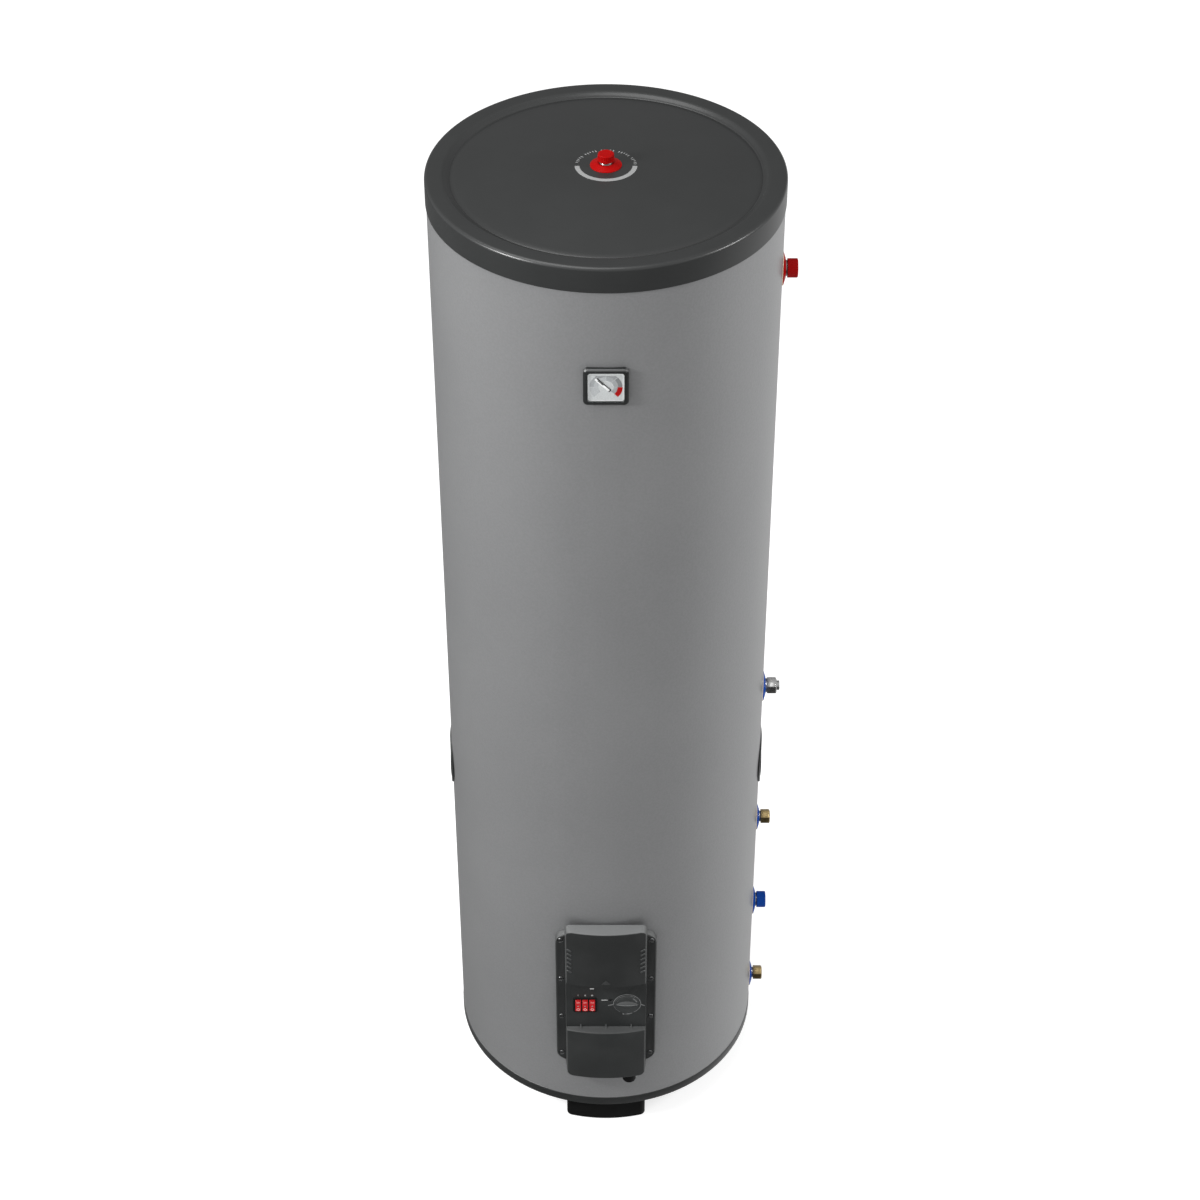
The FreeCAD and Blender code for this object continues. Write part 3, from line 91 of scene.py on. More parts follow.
class Sheet:
    # the nodes of a material, or of the surroundings
    def __init__(self, name, library="materials"):
        self.owner = getattr(bpy.data, library).new(name)
        self.owner.use_nodes = True
        self.tree = self.owner.node_tree
        self.tree.nodes.clear()

    def node(self, kind, settings=None, sockets=None, out=0):
        made = self.tree.nodes.new(kind)
        for key, value in (settings or {}).items():
            setattr(made, key, value)
        for key, value in (sockets or {}).items():
            if isinstance(value, Wire):
                self.tree.links.new(value.socket, made.inputs[key])
            else:
                made.inputs[key].default_value = value
        return Wire(self, made.outputs[out]) if made.outputs else made

    def place(self):
        return self.node("ShaderNodeTexCoord", out="Object")

    def axes(self, vector):
        split = self.node("ShaderNodeSeparateXYZ", sockets={0: vector})
        return [Wire(self, output) for output in split.socket.node.outputs]

    def facing(self):
        return self.axes(self.node("ShaderNodeNewGeometry", out="Normal"))

    def facingUp(self, low, high):
        return self.step(self.facing()[2], low, high)

    def paintedLightShare(self, flank):
        # the share of painted highlight a face gets: 1 on faces that look upwards, flank on upright
        # faces turned sideways, 0 in front and below
        along, up = self.facing()[1:]
        sideways = self.step(1.0 - abs(along), *paintedLightFacing["sideways"])
        above = self.step(up, *paintedLightFacing["above"]) * (1.0 - flank) + flank
        return sideways * self.step(up, *paintedLightFacing["below"]) * above

    def noise(self, scale, detail=2.0, rough=0.5, stretch=None):
        where = self.place()
        if stretch:
            stretched = {"operation": "MULTIPLY"}
            where = self.node("ShaderNodeVectorMath", stretched, {0: where, 1: stretch})
        sockets = {"Vector": where, "Scale": scale, "Detail": detail, "Roughness": rough}
        return self.node("ShaderNodeTexNoise", {}, sockets)

    def spread(self, value, low, high):
        # noise of about 0.5 carried to the range from low to high
        return value * (2.0 * (high - low)) + (low - 0.5 * (high - low))

    def between(self, factor, first, second):
        sockets = {0: factor, 6: first, 7: second}
        return self.node("ShaderNodeMix", {"data_type": "RGBA"}, sockets, out=2)

    def step(self, value, low, high):
        smooth = {"interpolation_type": "SMOOTHSTEP"}
        return self.node("ShaderNodeMapRange", smooth, {0: value, 1: low, 2: high})

    def bump(self, height, strength, distance):
        sockets = {"Height": height, "Strength": strength, "Distance": distance}
        return self.node("ShaderNodeBump", {}, sockets)

    def finish(self, **sockets):
        named = {key.replace("_", " "): value for key, value in sockets.items()}
        shader = self.node("ShaderNodeBsdfPrincipled", {}, named)
        self.node("ShaderNodeOutputMaterial", {}, {"Surface": shader})
        return self.owner


def rgb(red, green, blue):
    return (red, green, blue, 1.0)


def toned(colour, factor, lift=0.0):
    # the colour made lighter or darker
    return rgb(*(min(1.0, channel * factor + lift) for channel in colour[:3]))


def around(value, span, share=1.0):
    # both ends of a range laid round a value
    return [value + share * part for part in span]


# finishes: noise is scale, detail and roughness; bump is strength and depth

paint = {
    "colours": (rgb(0.206, 0.208, 0.211), rgb(0.232, 0.234, 0.237)), "rough": (0.33, 0.40),
    "metallic": 0.34, "coat": 0.12, "coatRough": 0.28,
    "flake": rgb(0.30, 0.305, 0.31), "flakeNoise": (5200.0, 1.0), "flakeSpan": (0.45, 0.75),
    "flakeShare": 0.3, "peelNoise": (260.0, 2.0, 0.55), "peelSpan": (0.35, 0.65),
    "peelBump": (0.30, 0.0008), "cloudNoise": (3.2, 3.0), "cloudSpan": (0.3, 0.7),
}


def jacketPaint():
    # silver-grey paint with fine metal flake and a light orange peel
    sheet = Sheet("jacketPaint")
    flake = sheet.noise(*paint["flakeNoise"])
    peel = sheet.noise(*paint["peelNoise"])
    cloud = sheet.noise(*paint["cloudNoise"])
    mottle = (sheet.step(cloud, *paint["cloudSpan"]) + sheet.step(peel, *paint["peelSpan"])) * 0.5
    tone = sheet.between(mottle, *paint["colours"])
    sparkle = sheet.step(flake, *paint["flakeSpan"]) * paint["flakeShare"]
    return sheet.finish(
        Base_Color=sheet.between(sparkle, tone, paint["flake"]),
        Metallic=paint["metallic"],
        Roughness=sheet.spread(cloud, *paint["rough"]),
        Coat_Weight=paint["coat"],
        Coat_Roughness=paint["coatRough"],
        Normal=sheet.bump(peel, *paint["peelBump"]),
    )


plastic = {"cloudNoise": (14.0, 3.0), "cloudSpan": (0.3, 0.75), "lighter": 0.18, "lift": 0.002,
           "paintedLightSpan": (0.85, 1.0), "roughSpan": (-0.04, 0.05), "bumpDepth": 0.00025}


def moulded(name, colour, rough, grain=0.15, scale=900.0, paintedLight=None, flank=0.4, slope=None,
            shine=0.5, uneven=1.0):
    # moulded plastic: fine grain and a slightly cloudy gloss; given a paler colour, it is painted
    # paler where
    # light falls, a painted highlight: on top and flanks, or, with slope, where faces look up by
    # its first two values and less than its last two
    sheet = Sheet(name)
    fine = sheet.noise(scale)
    cloud = sheet.noise(*plastic["cloudNoise"])
    lighter = toned(colour, 1.0 + plastic["lighter"] * uneven, plastic["lift"] * uneven)
    tone = sheet.between(sheet.step(cloud, *plastic["cloudSpan"]), colour, lighter)
    # painted highlight: paler where faces turn towards the light
    if paintedLight:
        amount = sheet.facingUp(*slope[:2]) if slope else sheet.paintedLightShare(flank)
        if slope and len(slope) > 2:
            amount = amount * (1.0 - sheet.facingUp(*slope[2:]))
        tone = sheet.between(amount * sheet.spread(cloud, *plastic["paintedLightSpan"]), tone, paintedLight)
    return sheet.finish(
        Base_Color=tone,
        Roughness=sheet.spread(cloud, *around(rough, plastic["roughSpan"], uneven)),
        Specular_IOR_Level=shine,
        Normal=sheet.bump(fine, grain, plastic["bumpDepth"]),
    )


drawn = {"lines": (4.0, 0.6), "stainNoise": (40.0, 3.0), "stainSpan": (0.25, 0.75), "stained": 0.78,
         "roughSpan": (-0.06, 0.10), "bump": (0.12, 0.0002)}
even, drawnUp, drawnAcross = (1.0, 1.0, 1.0), (1.0, 1.0, 14.0), (14.0, 1.0, 1.0)


def metal(name, colour, rough, stretch=drawnUp, scale=220.0, metallic=1.0):
    # drawn or turned metal: fine lines one way and a slight stain
    sheet = Sheet(name)
    lines = sheet.noise(scale, *drawn["lines"], stretch)
    stain = sheet.step(sheet.noise(*drawn["stainNoise"]), *drawn["stainSpan"])
    return sheet.finish(
        Base_Color=sheet.between(stain, toned(colour, drawn["stained"]), colour),
        Metallic=metallic,
        Roughness=sheet.spread(lines, *around(rough, drawn["roughSpan"])),
        Normal=sheet.bump(lines, *drawn["bump"]),
    )


foam = {"colours": (rgb(0.80, 0.70, 0.44), rgb(0.90, 0.83, 0.60)), "rough": 0.9,
        "cells": 420.0, "cloudNoise": (9.0, 3.0), "bump": (0.5, 0.001)}


def foamed():
    sheet = Sheet("foam")
    sockets = {"Vector": sheet.place(), "Scale": foam["cells"]}
    cells = sheet.node("ShaderNodeTexVoronoi", {}, sockets)
    return sheet.finish(
        Base_Color=sheet.between(sheet.noise(*foam["cloudNoise"]), *foam["colours"]),
        Roughness=foam["rough"],
        Normal=sheet.bump(cells, *foam["bump"]),
    )


def twoTone(name, look, glow=None, **more):
    # a finish that wanders between two colours with one noise
    sheet = Sheet(name)
    wander = sheet.noise(*look["noise"])
    if glow:
        more["Emission_Color"] = sheet.between(wander, *glow)
    return sheet.finish(
        Base_Color=sheet.between(wander, *look["colours"]),
        Roughness=sheet.spread(wander, *look["rough"]),
        Normal=sheet.bump(wander, *look["bump"]),
        **more,
    )


# clear red plastic, lit a little from inside
switchRed = {"noise": (260.0, 2.0), "colours": (rgb(0.34, 0.006, 0.008), rgb(0.42, 0.012, 0.014)),
             "rough": (0.20, 0.28), "bump": (0.05, 0.0002)}
switchGlow = (rgb(0.85, 0.010, 0.014), rgb(1.0, 0.030, 0.034))
# sheet metal brushed sideways
dialFace = {"noise": (900.0, 3.0, 0.6, (1.0, 1.0, 0.06)),
            "colours": (rgb(0.60, 0.61, 0.61), rgb(0.72, 0.73, 0.73)),
            "rough": (0.38, 0.5), "bump": (0.05, 0.0001)}
printed = {"noise": (700.0, 3.0), "wearAndHighlight": 0.86, "roughSpan": (-0.05, 0.08), "bump": (0.08, 0.0001)}


def thinMark(name, colour, rough=0.45, shine=0.5):
    # a thin mark, a little uneven: printed marks, and also the painted highlights and painted shade
    # on the knob, its rim and the needle
    look = {"colours": (toned(colour, printed["wearAndHighlight"]), colour),
            "rough": around(rough, printed["roughSpan"])}
    return twoTone(name, {**printed, **look}, Specular_IOR_Level=shine)


lens = {"shine": 0.04, "clear": rgb(0.98, 0.985, 0.985), "rim": 1.2, "rimShare": 0.4,
        "haze": (0.0, 0.01), "hazeNoise": (120.0, 2.0)}


def clearLens():
    sheet = Sheet("clearLens")
    haze = sheet.spread(sheet.noise(*lens["hazeNoise"]), *lens["haze"])
    glossy = {"Color": rgb(1.0, 1.0, 1.0), "Roughness": lens["shine"]}
    shine = sheet.node("ShaderNodeBsdfGlossy", {}, glossy)
    clear = sheet.node("ShaderNodeBsdfTransparent", {}, {"Color": lens["clear"]})
    rim = sheet.node("ShaderNodeFresnel", {}, {"IOR": lens["rim"]})
    sockets = {0: rim * lens["rimShare"] + haze, 1: clear, 2: shine}
    mixed = sheet.node("ShaderNodeMixShader", {}, sockets)
    sheet.node("ShaderNodeOutputMaterial", {}, {"Surface": mixed})
    return sheet.owner


finishes = {
    "jacket_paint": jacketPaint(),
    # black and cover plastic: painted highlight, paler on faces that look up and to the sides
    "black_plastic": moulded("blackPlastic", rgb(0.016, 0.017, 0.017), 0.36, 0.12,
                             paintedLight=rgb(0.10, 0.103, 0.104), flank=0.15),
    "cover_plastic": moulded("coverPlastic", rgb(0.0178, 0.019, 0.019), 0.42, 0.1,
                             paintedLight=rgb(0.168, 0.172, 0.172), shine=0.4),
    "foam": foamed(),
    "enamelled_steel": metal("enamelledSteel", rgb(0.10, 0.13, 0.22), 0.35, even, 60.0, 0.2),
    "stainless": metal("stainless", rgb(0.52, 0.52, 0.515), 0.26),
    "zinc_steel": metal("zincSteel", rgb(0.55, 0.56, 0.57), 0.34, even),
    "seal_rubber": moulded("sealRubber", rgb(0.022, 0.022, 0.022), 0.75, 0.3),
    "red_plastic": moulded("redPlastic", rgb(0.27, 0.001, 0.001), 0.34, 0.1, shine=0.06),
    "blue_plastic": moulded("bluePlastic", rgb(0.002, 0.046, 0.27), 0.34, 0.1, shine=0.08),
    "brass": metal("brass", rgb(0.48, 0.36, 0.175), 0.30, drawnAcross),
    "switch_red": twoTone("switchRed", switchRed, switchGlow, Specular_IOR_Level=0.25,
                          Emission_Strength=0.06),
    "magnesium": metal("magnesium", rgb(0.52, 0.52, 0.51), 0.55, even, 90.0),
    "terminal_plastic": moulded("terminalPlastic", rgb(0.72, 0.62, 0.46), 0.45, 0.1),
    "dial_face": twoTone("dialFace", dialFace, Metallic=0.15),
    "needle_white": moulded("needleWhite", rgb(0.92, 0.92, 0.91), 0.35, 0.05),
    "clear_lens": clearLens(),
}
extra = {
    "lid": moulded("lidPlastic", rgb(0.0214, 0.0224, 0.0224), 0.32, 0.03, 1200.0, uneven=0.25),
    # painted highlight on the case's rounded front edge: paler where faces look partly up, not on
    # its flat top
    "case": moulded("casePlastic", rgb(0.013, 0.014, 0.014), 0.34, 0.08,
                    paintedLight=rgb(0.085, 0.087, 0.088), slope=(0.25, 0.6, 0.85, 0.97)),
    # painted highlight: the housing is paler on its top and flanks
    "housing": moulded("housingPlastic", rgb(0.019, 0.0205, 0.0205), 0.42, 0.1,
                       paintedLight=rgb(0.064, 0.066, 0.066), flank=0.8, shine=0.42),
    # a lighter copy of the cover plastic for the ribs and web edges, with a painted highlight on
    # top and flanks
    "rib": moulded("ribPlastic", rgb(0.030, 0.032, 0.032), 0.40, 0.1,
                   paintedLight=rgb(0.13, 0.135, 0.135), flank=0.8),
    "screw": metal("screwZinc", rgb(0.36, 0.365, 0.37), 0.30, even),
    # painted highlight: the knob is paler on its top and flanks
    "knob": moulded("knobPlastic", rgb(0.026, 0.028, 0.028), 0.40, paintedLight=rgb(0.16, 0.165, 0.165)),
    # painted highlight on the grip's upper slope
    "grip": moulded("gripPlastic", rgb(0.024, 0.026, 0.026), 0.36, 0.10,
                    paintedLight=rgb(0.095, 0.098, 0.098), slope=(0.0, 0.5)),
    "footBlack": moulded("footBlack", rgb(0.003, 0.003, 0.003), 0.6, shine=0.15),
    "bezel": moulded("bezelPlastic", rgb(0.004, 0.0042, 0.0042), 0.30, 0.05, shine=0.3),
    "pale": thinMark("inkPale", rgb(0.50, 0.505, 0.50)),
    "grey": thinMark("inkGrey", rgb(0.28, 0.285, 0.285)),
    # painted highlight: a pale strip along the knob grip's crest
    "crest": thinMark("paintedCrestHighlight", rgb(0.24, 0.25, 0.25)),
    # faint tone for print, and for the knob rim in shade, a painted shade
    "faint": thinMark("faintInkAndRimShade", rgb(0.09, 0.093, 0.093)),
    # scale tone for print, and for the knob rim's painted highlight
    "scale": thinMark("scaleInkAndRimHighlight", rgb(0.20, 0.205, 0.205)),
    "arrow": thinMark("arrowGrey", rgb(0.040, 0.042, 0.042)),
    "pink": thinMark("inkPink", rgb(0.72, 0.30, 0.29)),
    # painted shade for the needle's edges and slot
    "dark": thinMark("paintedNeedleShade", rgb(0.004, 0.004, 0.004), 0.5, 0.1),
    "dialBorder": thinMark("dialBorder", rgb(0.86, 0.87, 0.87)),
    "dialPale": thinMark("dialPale", rgb(0.52, 0.53, 0.54)),
    "dialLight": thinMark("dialLight", rgb(0.41, 0.42, 0.43)),
    "dialMid": thinMark("dialMid", rgb(0.34, 0.345, 0.355)),
    "dialDark": thinMark("dialDark", rgb(0.25, 0.255, 0.26)),
    "dialRed": thinMark("dialRed", rgb(0.44, 0.003, 0.003), shine=0.12),
}
for node, thing in nodes.items():
    look = extra["footBlack"] if node == "safety_cutout" else finishes[slotOf[node]]
    thing.data.materials.clear()
    thing.data.materials.append(look)
print("finishes made:", len(finishes) + len(extra))


# mesh helpers, in millimetres

merging = {"near": 1e-7, "sliver": 1e-8}
softening = {"flat": 0.6, "segments": 2, "angle": 32.0, "smooth": 28.0, "rimSegments": 4,
             "profile": 0.5}
smoothing = {"usual": 35.0, "lid": 30.0, "round": 40.0, "thread": 50.0, "grip": 60.0}  # degrees
cornerSteps = 5  # points round a printed corner
nearAxis = 0.001  # radius where a turned outline closes on its axis


def spot(x, y, z):
    # a point of the frame
    return Vector((x * mm, y * mm, z * mm))


def sides(node):
    # the low and high corners of a CAD node
    low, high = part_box(node)
    return low / mm, high / mm


def centreOf(node):
    low, high = sides(node)
    return (low + high) / 2


def polar(radius, degrees, u=0.0, v=0.0):
    # the point at a distance and an angle from a centre
    turn = math.radians(degrees)
    return u + radius * math.cos(turn), v + radius * math.sin(turn)


def turned(u, v, degrees):
    cosine, sine = polar(1.0, degrees)
    return u * cosine - v * sine, u * sine + v * cosine


def smoothShade(mesh, degrees):
    form = bmesh.new()
    form.from_mesh(mesh)
    for face in form.faces:
        face.smooth = True
    for edge in form.edges:
        turn = edge.calc_face_angle(0.0)
        edge.smooth = len(edge.link_faces) == 2 and turn < math.radians(degrees)
    form.to_mesh(mesh)
    form.free()


def meshFrom(name, points, faces):
    mesh = bpy.data.meshes.new(name)
    mesh.from_pydata([tuple(point) for point in points], [], faces)
    form = bmesh.new()
    form.from_mesh(mesh)
    bmesh.ops.remove_doubles(form, verts=form.verts, dist=merging["near"])
    bmesh.ops.dissolve_degenerate(form, dist=merging["sliver"], edges=form.edges)
    bmesh.ops.recalc_face_normals(form, faces=form.faces)
    form.to_mesh(mesh)
    form.free()
    return mesh


def addObject(name, data, place=(0.0, 0.0, 0.0), turn=(0.0, 0.0, 0.0)):
    thing = bpy.data.objects.new(name, data)
    thing.location = place
    thing.rotation_euler = turn
    bpy.context.scene.collection.objects.link(thing)
    return thing


def showPiece(name, mesh, node, look=None, stands=True):
    # on the body and in the slot of a CAD node, and in its place if it stands in for it
    mesh.name = name
    mesh.materials.clear()
    mesh.materials.append(look or finishes[slotOf[node]])
    piece = addObject(name, mesh)
    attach(piece, bodyOf[node])
    if stands:
        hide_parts(node)


def addPiece(name, shape, node, look=None, smooth="usual", stands=True):
    mesh = meshFrom(name, *shape)
    smoothShade(mesh, smoothing[smooth])
    showPiece(name, mesh, node, look, stands)


def addDetail(name, shape, node, look=None, smooth="usual"):
    # a further piece that goes with a CAD node
    addPiece(name, shape, node, look, smooth, False)


def joined(shapes):
    points, faces = [], []
    for morePoints, moreFaces in shapes:
        first = len(points)
        points += morePoints
        faces += [tuple(first + index for index in face) for face in moreFaces]
    return points, faces


def applied(mesh, kind, settings):
    # the mesh with one modifier worked into it
    holder = addObject("holder", mesh)
    modifier = holder.modifiers.new("work", kind)
    for key, value in settings.items():
        setattr(modifier, key, value)
    shape = holder.evaluated_get(bpy.context.evaluated_depsgraph_get())
    result = bpy.data.meshes.new_from_object(shape)
    bpy.data.objects.remove(holder)
    return result


def softCopy(name, node, width, look=None, rounded=None):
    # a CAD node's form with its edges rounded; its flat faces are merged first unless rounded says
    # keep, and the outline of the faces that rounded picks gets a wider rounding
    source = nodes[node].data
    points = [vertex.co for vertex in source.vertices]
    mesh = meshFrom(name, points, [tuple(face.vertices) for face in source.polygons])
    form = bmesh.new()
    form.from_mesh(mesh)
    if not (rounded and rounded["keep"]):
        flat = math.radians(softening["flat"])
        bmesh.ops.dissolve_limit(form, angle_limit=flat, verts=form.verts, edges=form.edges)
    if rounded:
        chosen = {face for face in form.faces if rounded["pick"](face)}
        rim = []
        for edge in form.edges:
            middle = (edge.verts[0].co + edge.verts[1].co) / 2
            bounding = len(edge.link_faces) == 2 and len(chosen & set(edge.link_faces)) == 1
            if bounding and rounded["where"](middle):
                rim.append(edge)
        bmesh.ops.bevel(form, geom=rim, offset=rounded["width"] * mm, offset_type="OFFSET",
                        segments=softening["rimSegments"], profile=softening["profile"],
                        affect="EDGES", clamp_overlap=False)
    form.to_mesh(mesh)
    form.free()
    angle = math.radians(softening["angle"])
    mesh = applied(mesh, "BEVEL", {"width": width * mm, "segments": softening["segments"],
                                   "limit_method": "ANGLE", "angle_limit": angle})
    smoothShade(mesh, softening["smooth"])
    showPiece(name, mesh, node, look)


def wrapped(rings, size, closed=True):
    # faces round rings of points; the last ring meets the first unless the tube is open
    faces = []
    for ring in range(rings if closed else rings - 1):
        here, there = ring * size, (ring + 1) % rings * size
        for index in range(size):
            after = (index + 1) % size
            faces.append((here + index, there + index, there + after, here + after))
    return faces


def woven(rows, size):
    # faces between rows of points
    starts = [row * size + index for row in range(rows - 1) for index in range(size - 1)]
    return [(start, start + 1, start + size + 1, start + size) for start in starts]


def spin(outline, count, place):
    # a closed outline of (radius, height) turned about an axis; place sets a point in the frame
    points = [place(*polar(radius, 360 * step / count), height)
              for step in range(count) for radius, height in outline]
    return points, wrapped(count, len(outline))


def arc(u, v, radius, start, end, count):
    return [polar(radius, start + (end - start) * step / count, u, v) for step in range(count + 1)]


def slab(outlines, place, depth):
    # flat shapes with a thickness: place(u, v, lift) gives a point in the frame
    points, faces = [], []
    for outline in outlines:
        size = len(outline)
        first = len(points)
        for lift in (0.0, depth):
            points += [place(u, v, lift) for u, v in outline]
        faces.append(tuple(first + size + index for index in range(size)))
        faces.append(tuple(first + size - 1 - index for index in range(size)))
        top = first + size
        for index in range(size):
            after = (index + 1) % size
            faces.append((first + index, first + after, top + after, top + index))
    return points, faces


def bandShape(inner, outer, start, end, count, centre=(0.0, 0.0)):
    # part of a ring as one outline, angles in degrees
    return arc(*centre, outer, start, end, count) + arc(*centre, inner, end, start, count)


def bandPieces(inner, outer, start, end, count, centre=(0.0, 0.0)):
    # the same in short lengths, for curved ground
    step = (end - start) / count
    turns = [start + step * index for index in range(count)]
    return [bandShape(inner, outer, turn, turn + step, 1, centre) for turn in turns]


def boxShape(u, v, width, height):
    corners = ((-1, -1), (1, -1), (1, 1), (-1, 1))
    return [(u + across * width / 2, v + up * height / 2) for across, up in corners]


def roundedShape(u, v, width, height, corner):
    outline = []
    for across, up, start in ((1, 1, 0), (-1, 1, 90), (-1, -1, 180), (1, -1, 270)):
        middle = (u + across * (width / 2 - corner), v + up * (height / 2 - corner))
        outline += arc(*middle, corner, start, start + 90, cornerSteps)
    return outline


def facing(depth):
    # drawing ground on a flat front face: u across, v up
    return lambda u, v, lift: spot(u, -(depth + lift), v)


# lid

lid = {
    "segments": 224, "wall": 3.0, "skirt": 43.4, "edgeRound": 6.0, "edgeArc": (0, 90, 9),
    "rimWidth": 28.7, "lipInset": 3.0, "lipWidth": 2.5, "portGap": 0.3, "flat": 27.0,
    "domeRise": 11.0, "brimInset": 2.0, "brimRound": 2.4, "brimArc": (90, 110, 4),
    "stepRows": 6, "stepWidth": 12.0, "stepStart": 0.8, "stepShort": 2.0, "stepDrop": 5.6,
    "stepTop": 0.25, "stepFoot": 0.1, "stepWall": 3.0,
    "groove": 0.75, "grooveFrom": 1.8, "grooveTo": 0.8, "domeEdge": 0.6, "domeRows": 24,
    "markInner": 42.0, "markOuter": 49.5, "markThick": 0.12, "markLift": 0.02,
    "band": (183, 357, 44), "marks": 30, "markStart": 5.0, "markSpan": 170.0, "word": 6,
    "markHalf": 1.0, "markFoot": 1.6, "markFeet": 3, "markHead": 0.8,
}


def buildLid():
    low, high = sides("top_lid")
    outer, wall, rounding = high.x, lid["wall"], lid["edgeRound"]
    inner = outer - lid["rimWidth"]
    edge = inner - lid["stepWidth"]
    sag = lid["domeRise"] + lid["stepDrop"]
    curve = (edge ** 2 + sag ** 2) / (2 * sag)
    rim = high.z - lid["domeRise"] + curve - math.sqrt(curve ** 2 - lid["flat"] ** 2)
    foot = rim - lid["stepDrop"]

    def dome(radius):
        return rim + lid["domeRise"] - curve + math.sqrt(curve ** 2 - radius ** 2)

    profile = [(outer, rim - lid["skirt"])]
    profile += arc(outer - rounding, rim - rounding, rounding, *lid["edgeArc"])
    brim = lid["brimRound"]
    profile += arc(inner + lid["brimInset"], rim - brim, brim, *lid["brimArc"])
    drop = lid["stepDrop"] - lid["stepTop"] - lid["stepFoot"]
    for step in range(lid["stepRows"] + 1):
        share = step / lid["stepRows"]
        eased = share * share * (3 - 2 * share)
        radius = inner + lid["stepStart"] - share * (lid["stepWidth"] - lid["stepShort"])
        profile.append((radius, rim - lid["stepTop"] - eased * drop))
    profile += [(edge + lid[end], foot - lid["groove"]) for end in ("grooveFrom", "grooveTo")]
    start, rows = edge - lid["domeEdge"], lid["domeRows"]
    radii = [start + (lid["flat"] - start) * step / rows for step in range(rows + 1)]
    profile += [(radius, dome(radius)) for radius in radii]
    port = sides("safety_port_stub")[1].x + lid["portGap"]
    flatTop = dome(lid["flat"])
    profile += [(port, flatTop), (port, flatTop - wall), (lid["flat"], flatTop - wall)]
    profile += [(edge - wall, foot - wall), (edge + lid["stepWall"], foot - wall)]
    lip = outer - lid["lipInset"]
    back = lip - lid["lipWidth"]
    profile += [(inner - wall, rim - wall), (back, rim - wall), (back, low.z), (lip, low.z)]
    profile.append((lip, rim - lid["skirt"]))
    addPiece("lidCover", spin(profile, lid["segments"], spot), "top_lid", extra["lid"], "lid")

    # printed ring: a full band in front, plain marks round the back
    def onDome(u, v, lift):
        return spot(u, v, dome(math.hypot(u, v)) + lid["markLift"] + lift)

    band = bandPieces(lid["markInner"], lid["markOuter"], *lid["band"])
    marks = []
    for step in range(lid["marks"]):
        middle = lid["markStart"] + lid["markSpan"] * step / (lid["marks"] - 1)
        if step % lid["word"] != lid["word"] - 1:
            inside = lid["markInner"] + lid["markFoot"] + step % lid["markFeet"]
            ends = (middle - lid["markHalf"], middle + lid["markHalf"])
            marks.append(bandShape(inside, lid["markOuter"] - lid["markHead"], *ends, 1))
    for name, shapes in (("lidBand", band), ("lidMarks", marks)):
        addDetail(name, slab(shapes, onDome, lid["markThick"]), "top_lid", extra["grey"])


buildLid()
print("lid made")


# pipe connections

pipe = {
    "pitch": 1.81, "depth": 1.1, "wall": 3.2, "around": 48, "perTurn": 6, "tip": 1.0, "lead": 2.0,
    "bare": 0.5, "gap": 0.3, "rise": 5.0, "edge": 1.6, "rimRound": 0.9, "shoulder": 1.6,
    "rimArc": (0, 70, 4), "shoulderArc": (62, 90, 4), "shoulderInset": 3.0, "mouth": 0.5,
    "sealWidth": 1.2, "sealRise": 0.8, "sealIn": 0.6, "sealTop": 0.3, "sealLift": 0.1,
    "sealSlope": (0.8, 0.7), "nutEdge": 0.5, "collarSides": 96, "back": -0.0001, "lidBack": 0.12,
}
cap = {
    "ribs": 28, "perRib": 6, "ribDepth": 0.5, "chamfer": 0.25, "foot": 0.5, "ribStart": 1.0,
    "ribEnd": 2.2, "endRound": 1.8, "endRows": 5, "endLevel": 2.0, "dish": 0.35, "dishEdge": 0.05,
    "dishOuter": 0.35, "dishInner": 0.36, "axis": 0.01, "bore": 0.05, "cover": 0.1,
}
closings = {"hot_outlet": "cap", "cold_inlet": "cap", "coil_inlet": "nut", "coil_outlet": "nut",
            "recirculation": "plug", "safety_port": "cap"}


def threaded(outer, low, bare, high, place):
    # tube with a thread cut into its outer end
    pitch, count = pipe["pitch"], pipe["around"]
    length = high - bare - pipe["tip"]
    steps = max(1, round(length / pitch)) * pipe["perTurn"]
    rows = [("plain", low)]
    rows += [("thread", bare + length * step / steps) for step in range(steps + 1)]
    rows += [("tip", high), ("bore", high), ("bore", low)]
    radii = {"plain": outer, "tip": outer - pipe["depth"], "bore": outer - pipe["wall"]}
    points = []
    for kind, level in rows:
        for index in range(count):
            radius = radii.get(kind)
            if kind == "thread":
                fade = min(1.0, (level - bare) / pipe["lead"])
                phase = ((level - bare) / pitch + index / count) % 1.0
                radius = outer - pipe["depth"] * fade * abs(2 * phase - 1)
            points.append(place(*polar(radius, 360 * index / count), level))
    return points, wrapped(len(rows), count)


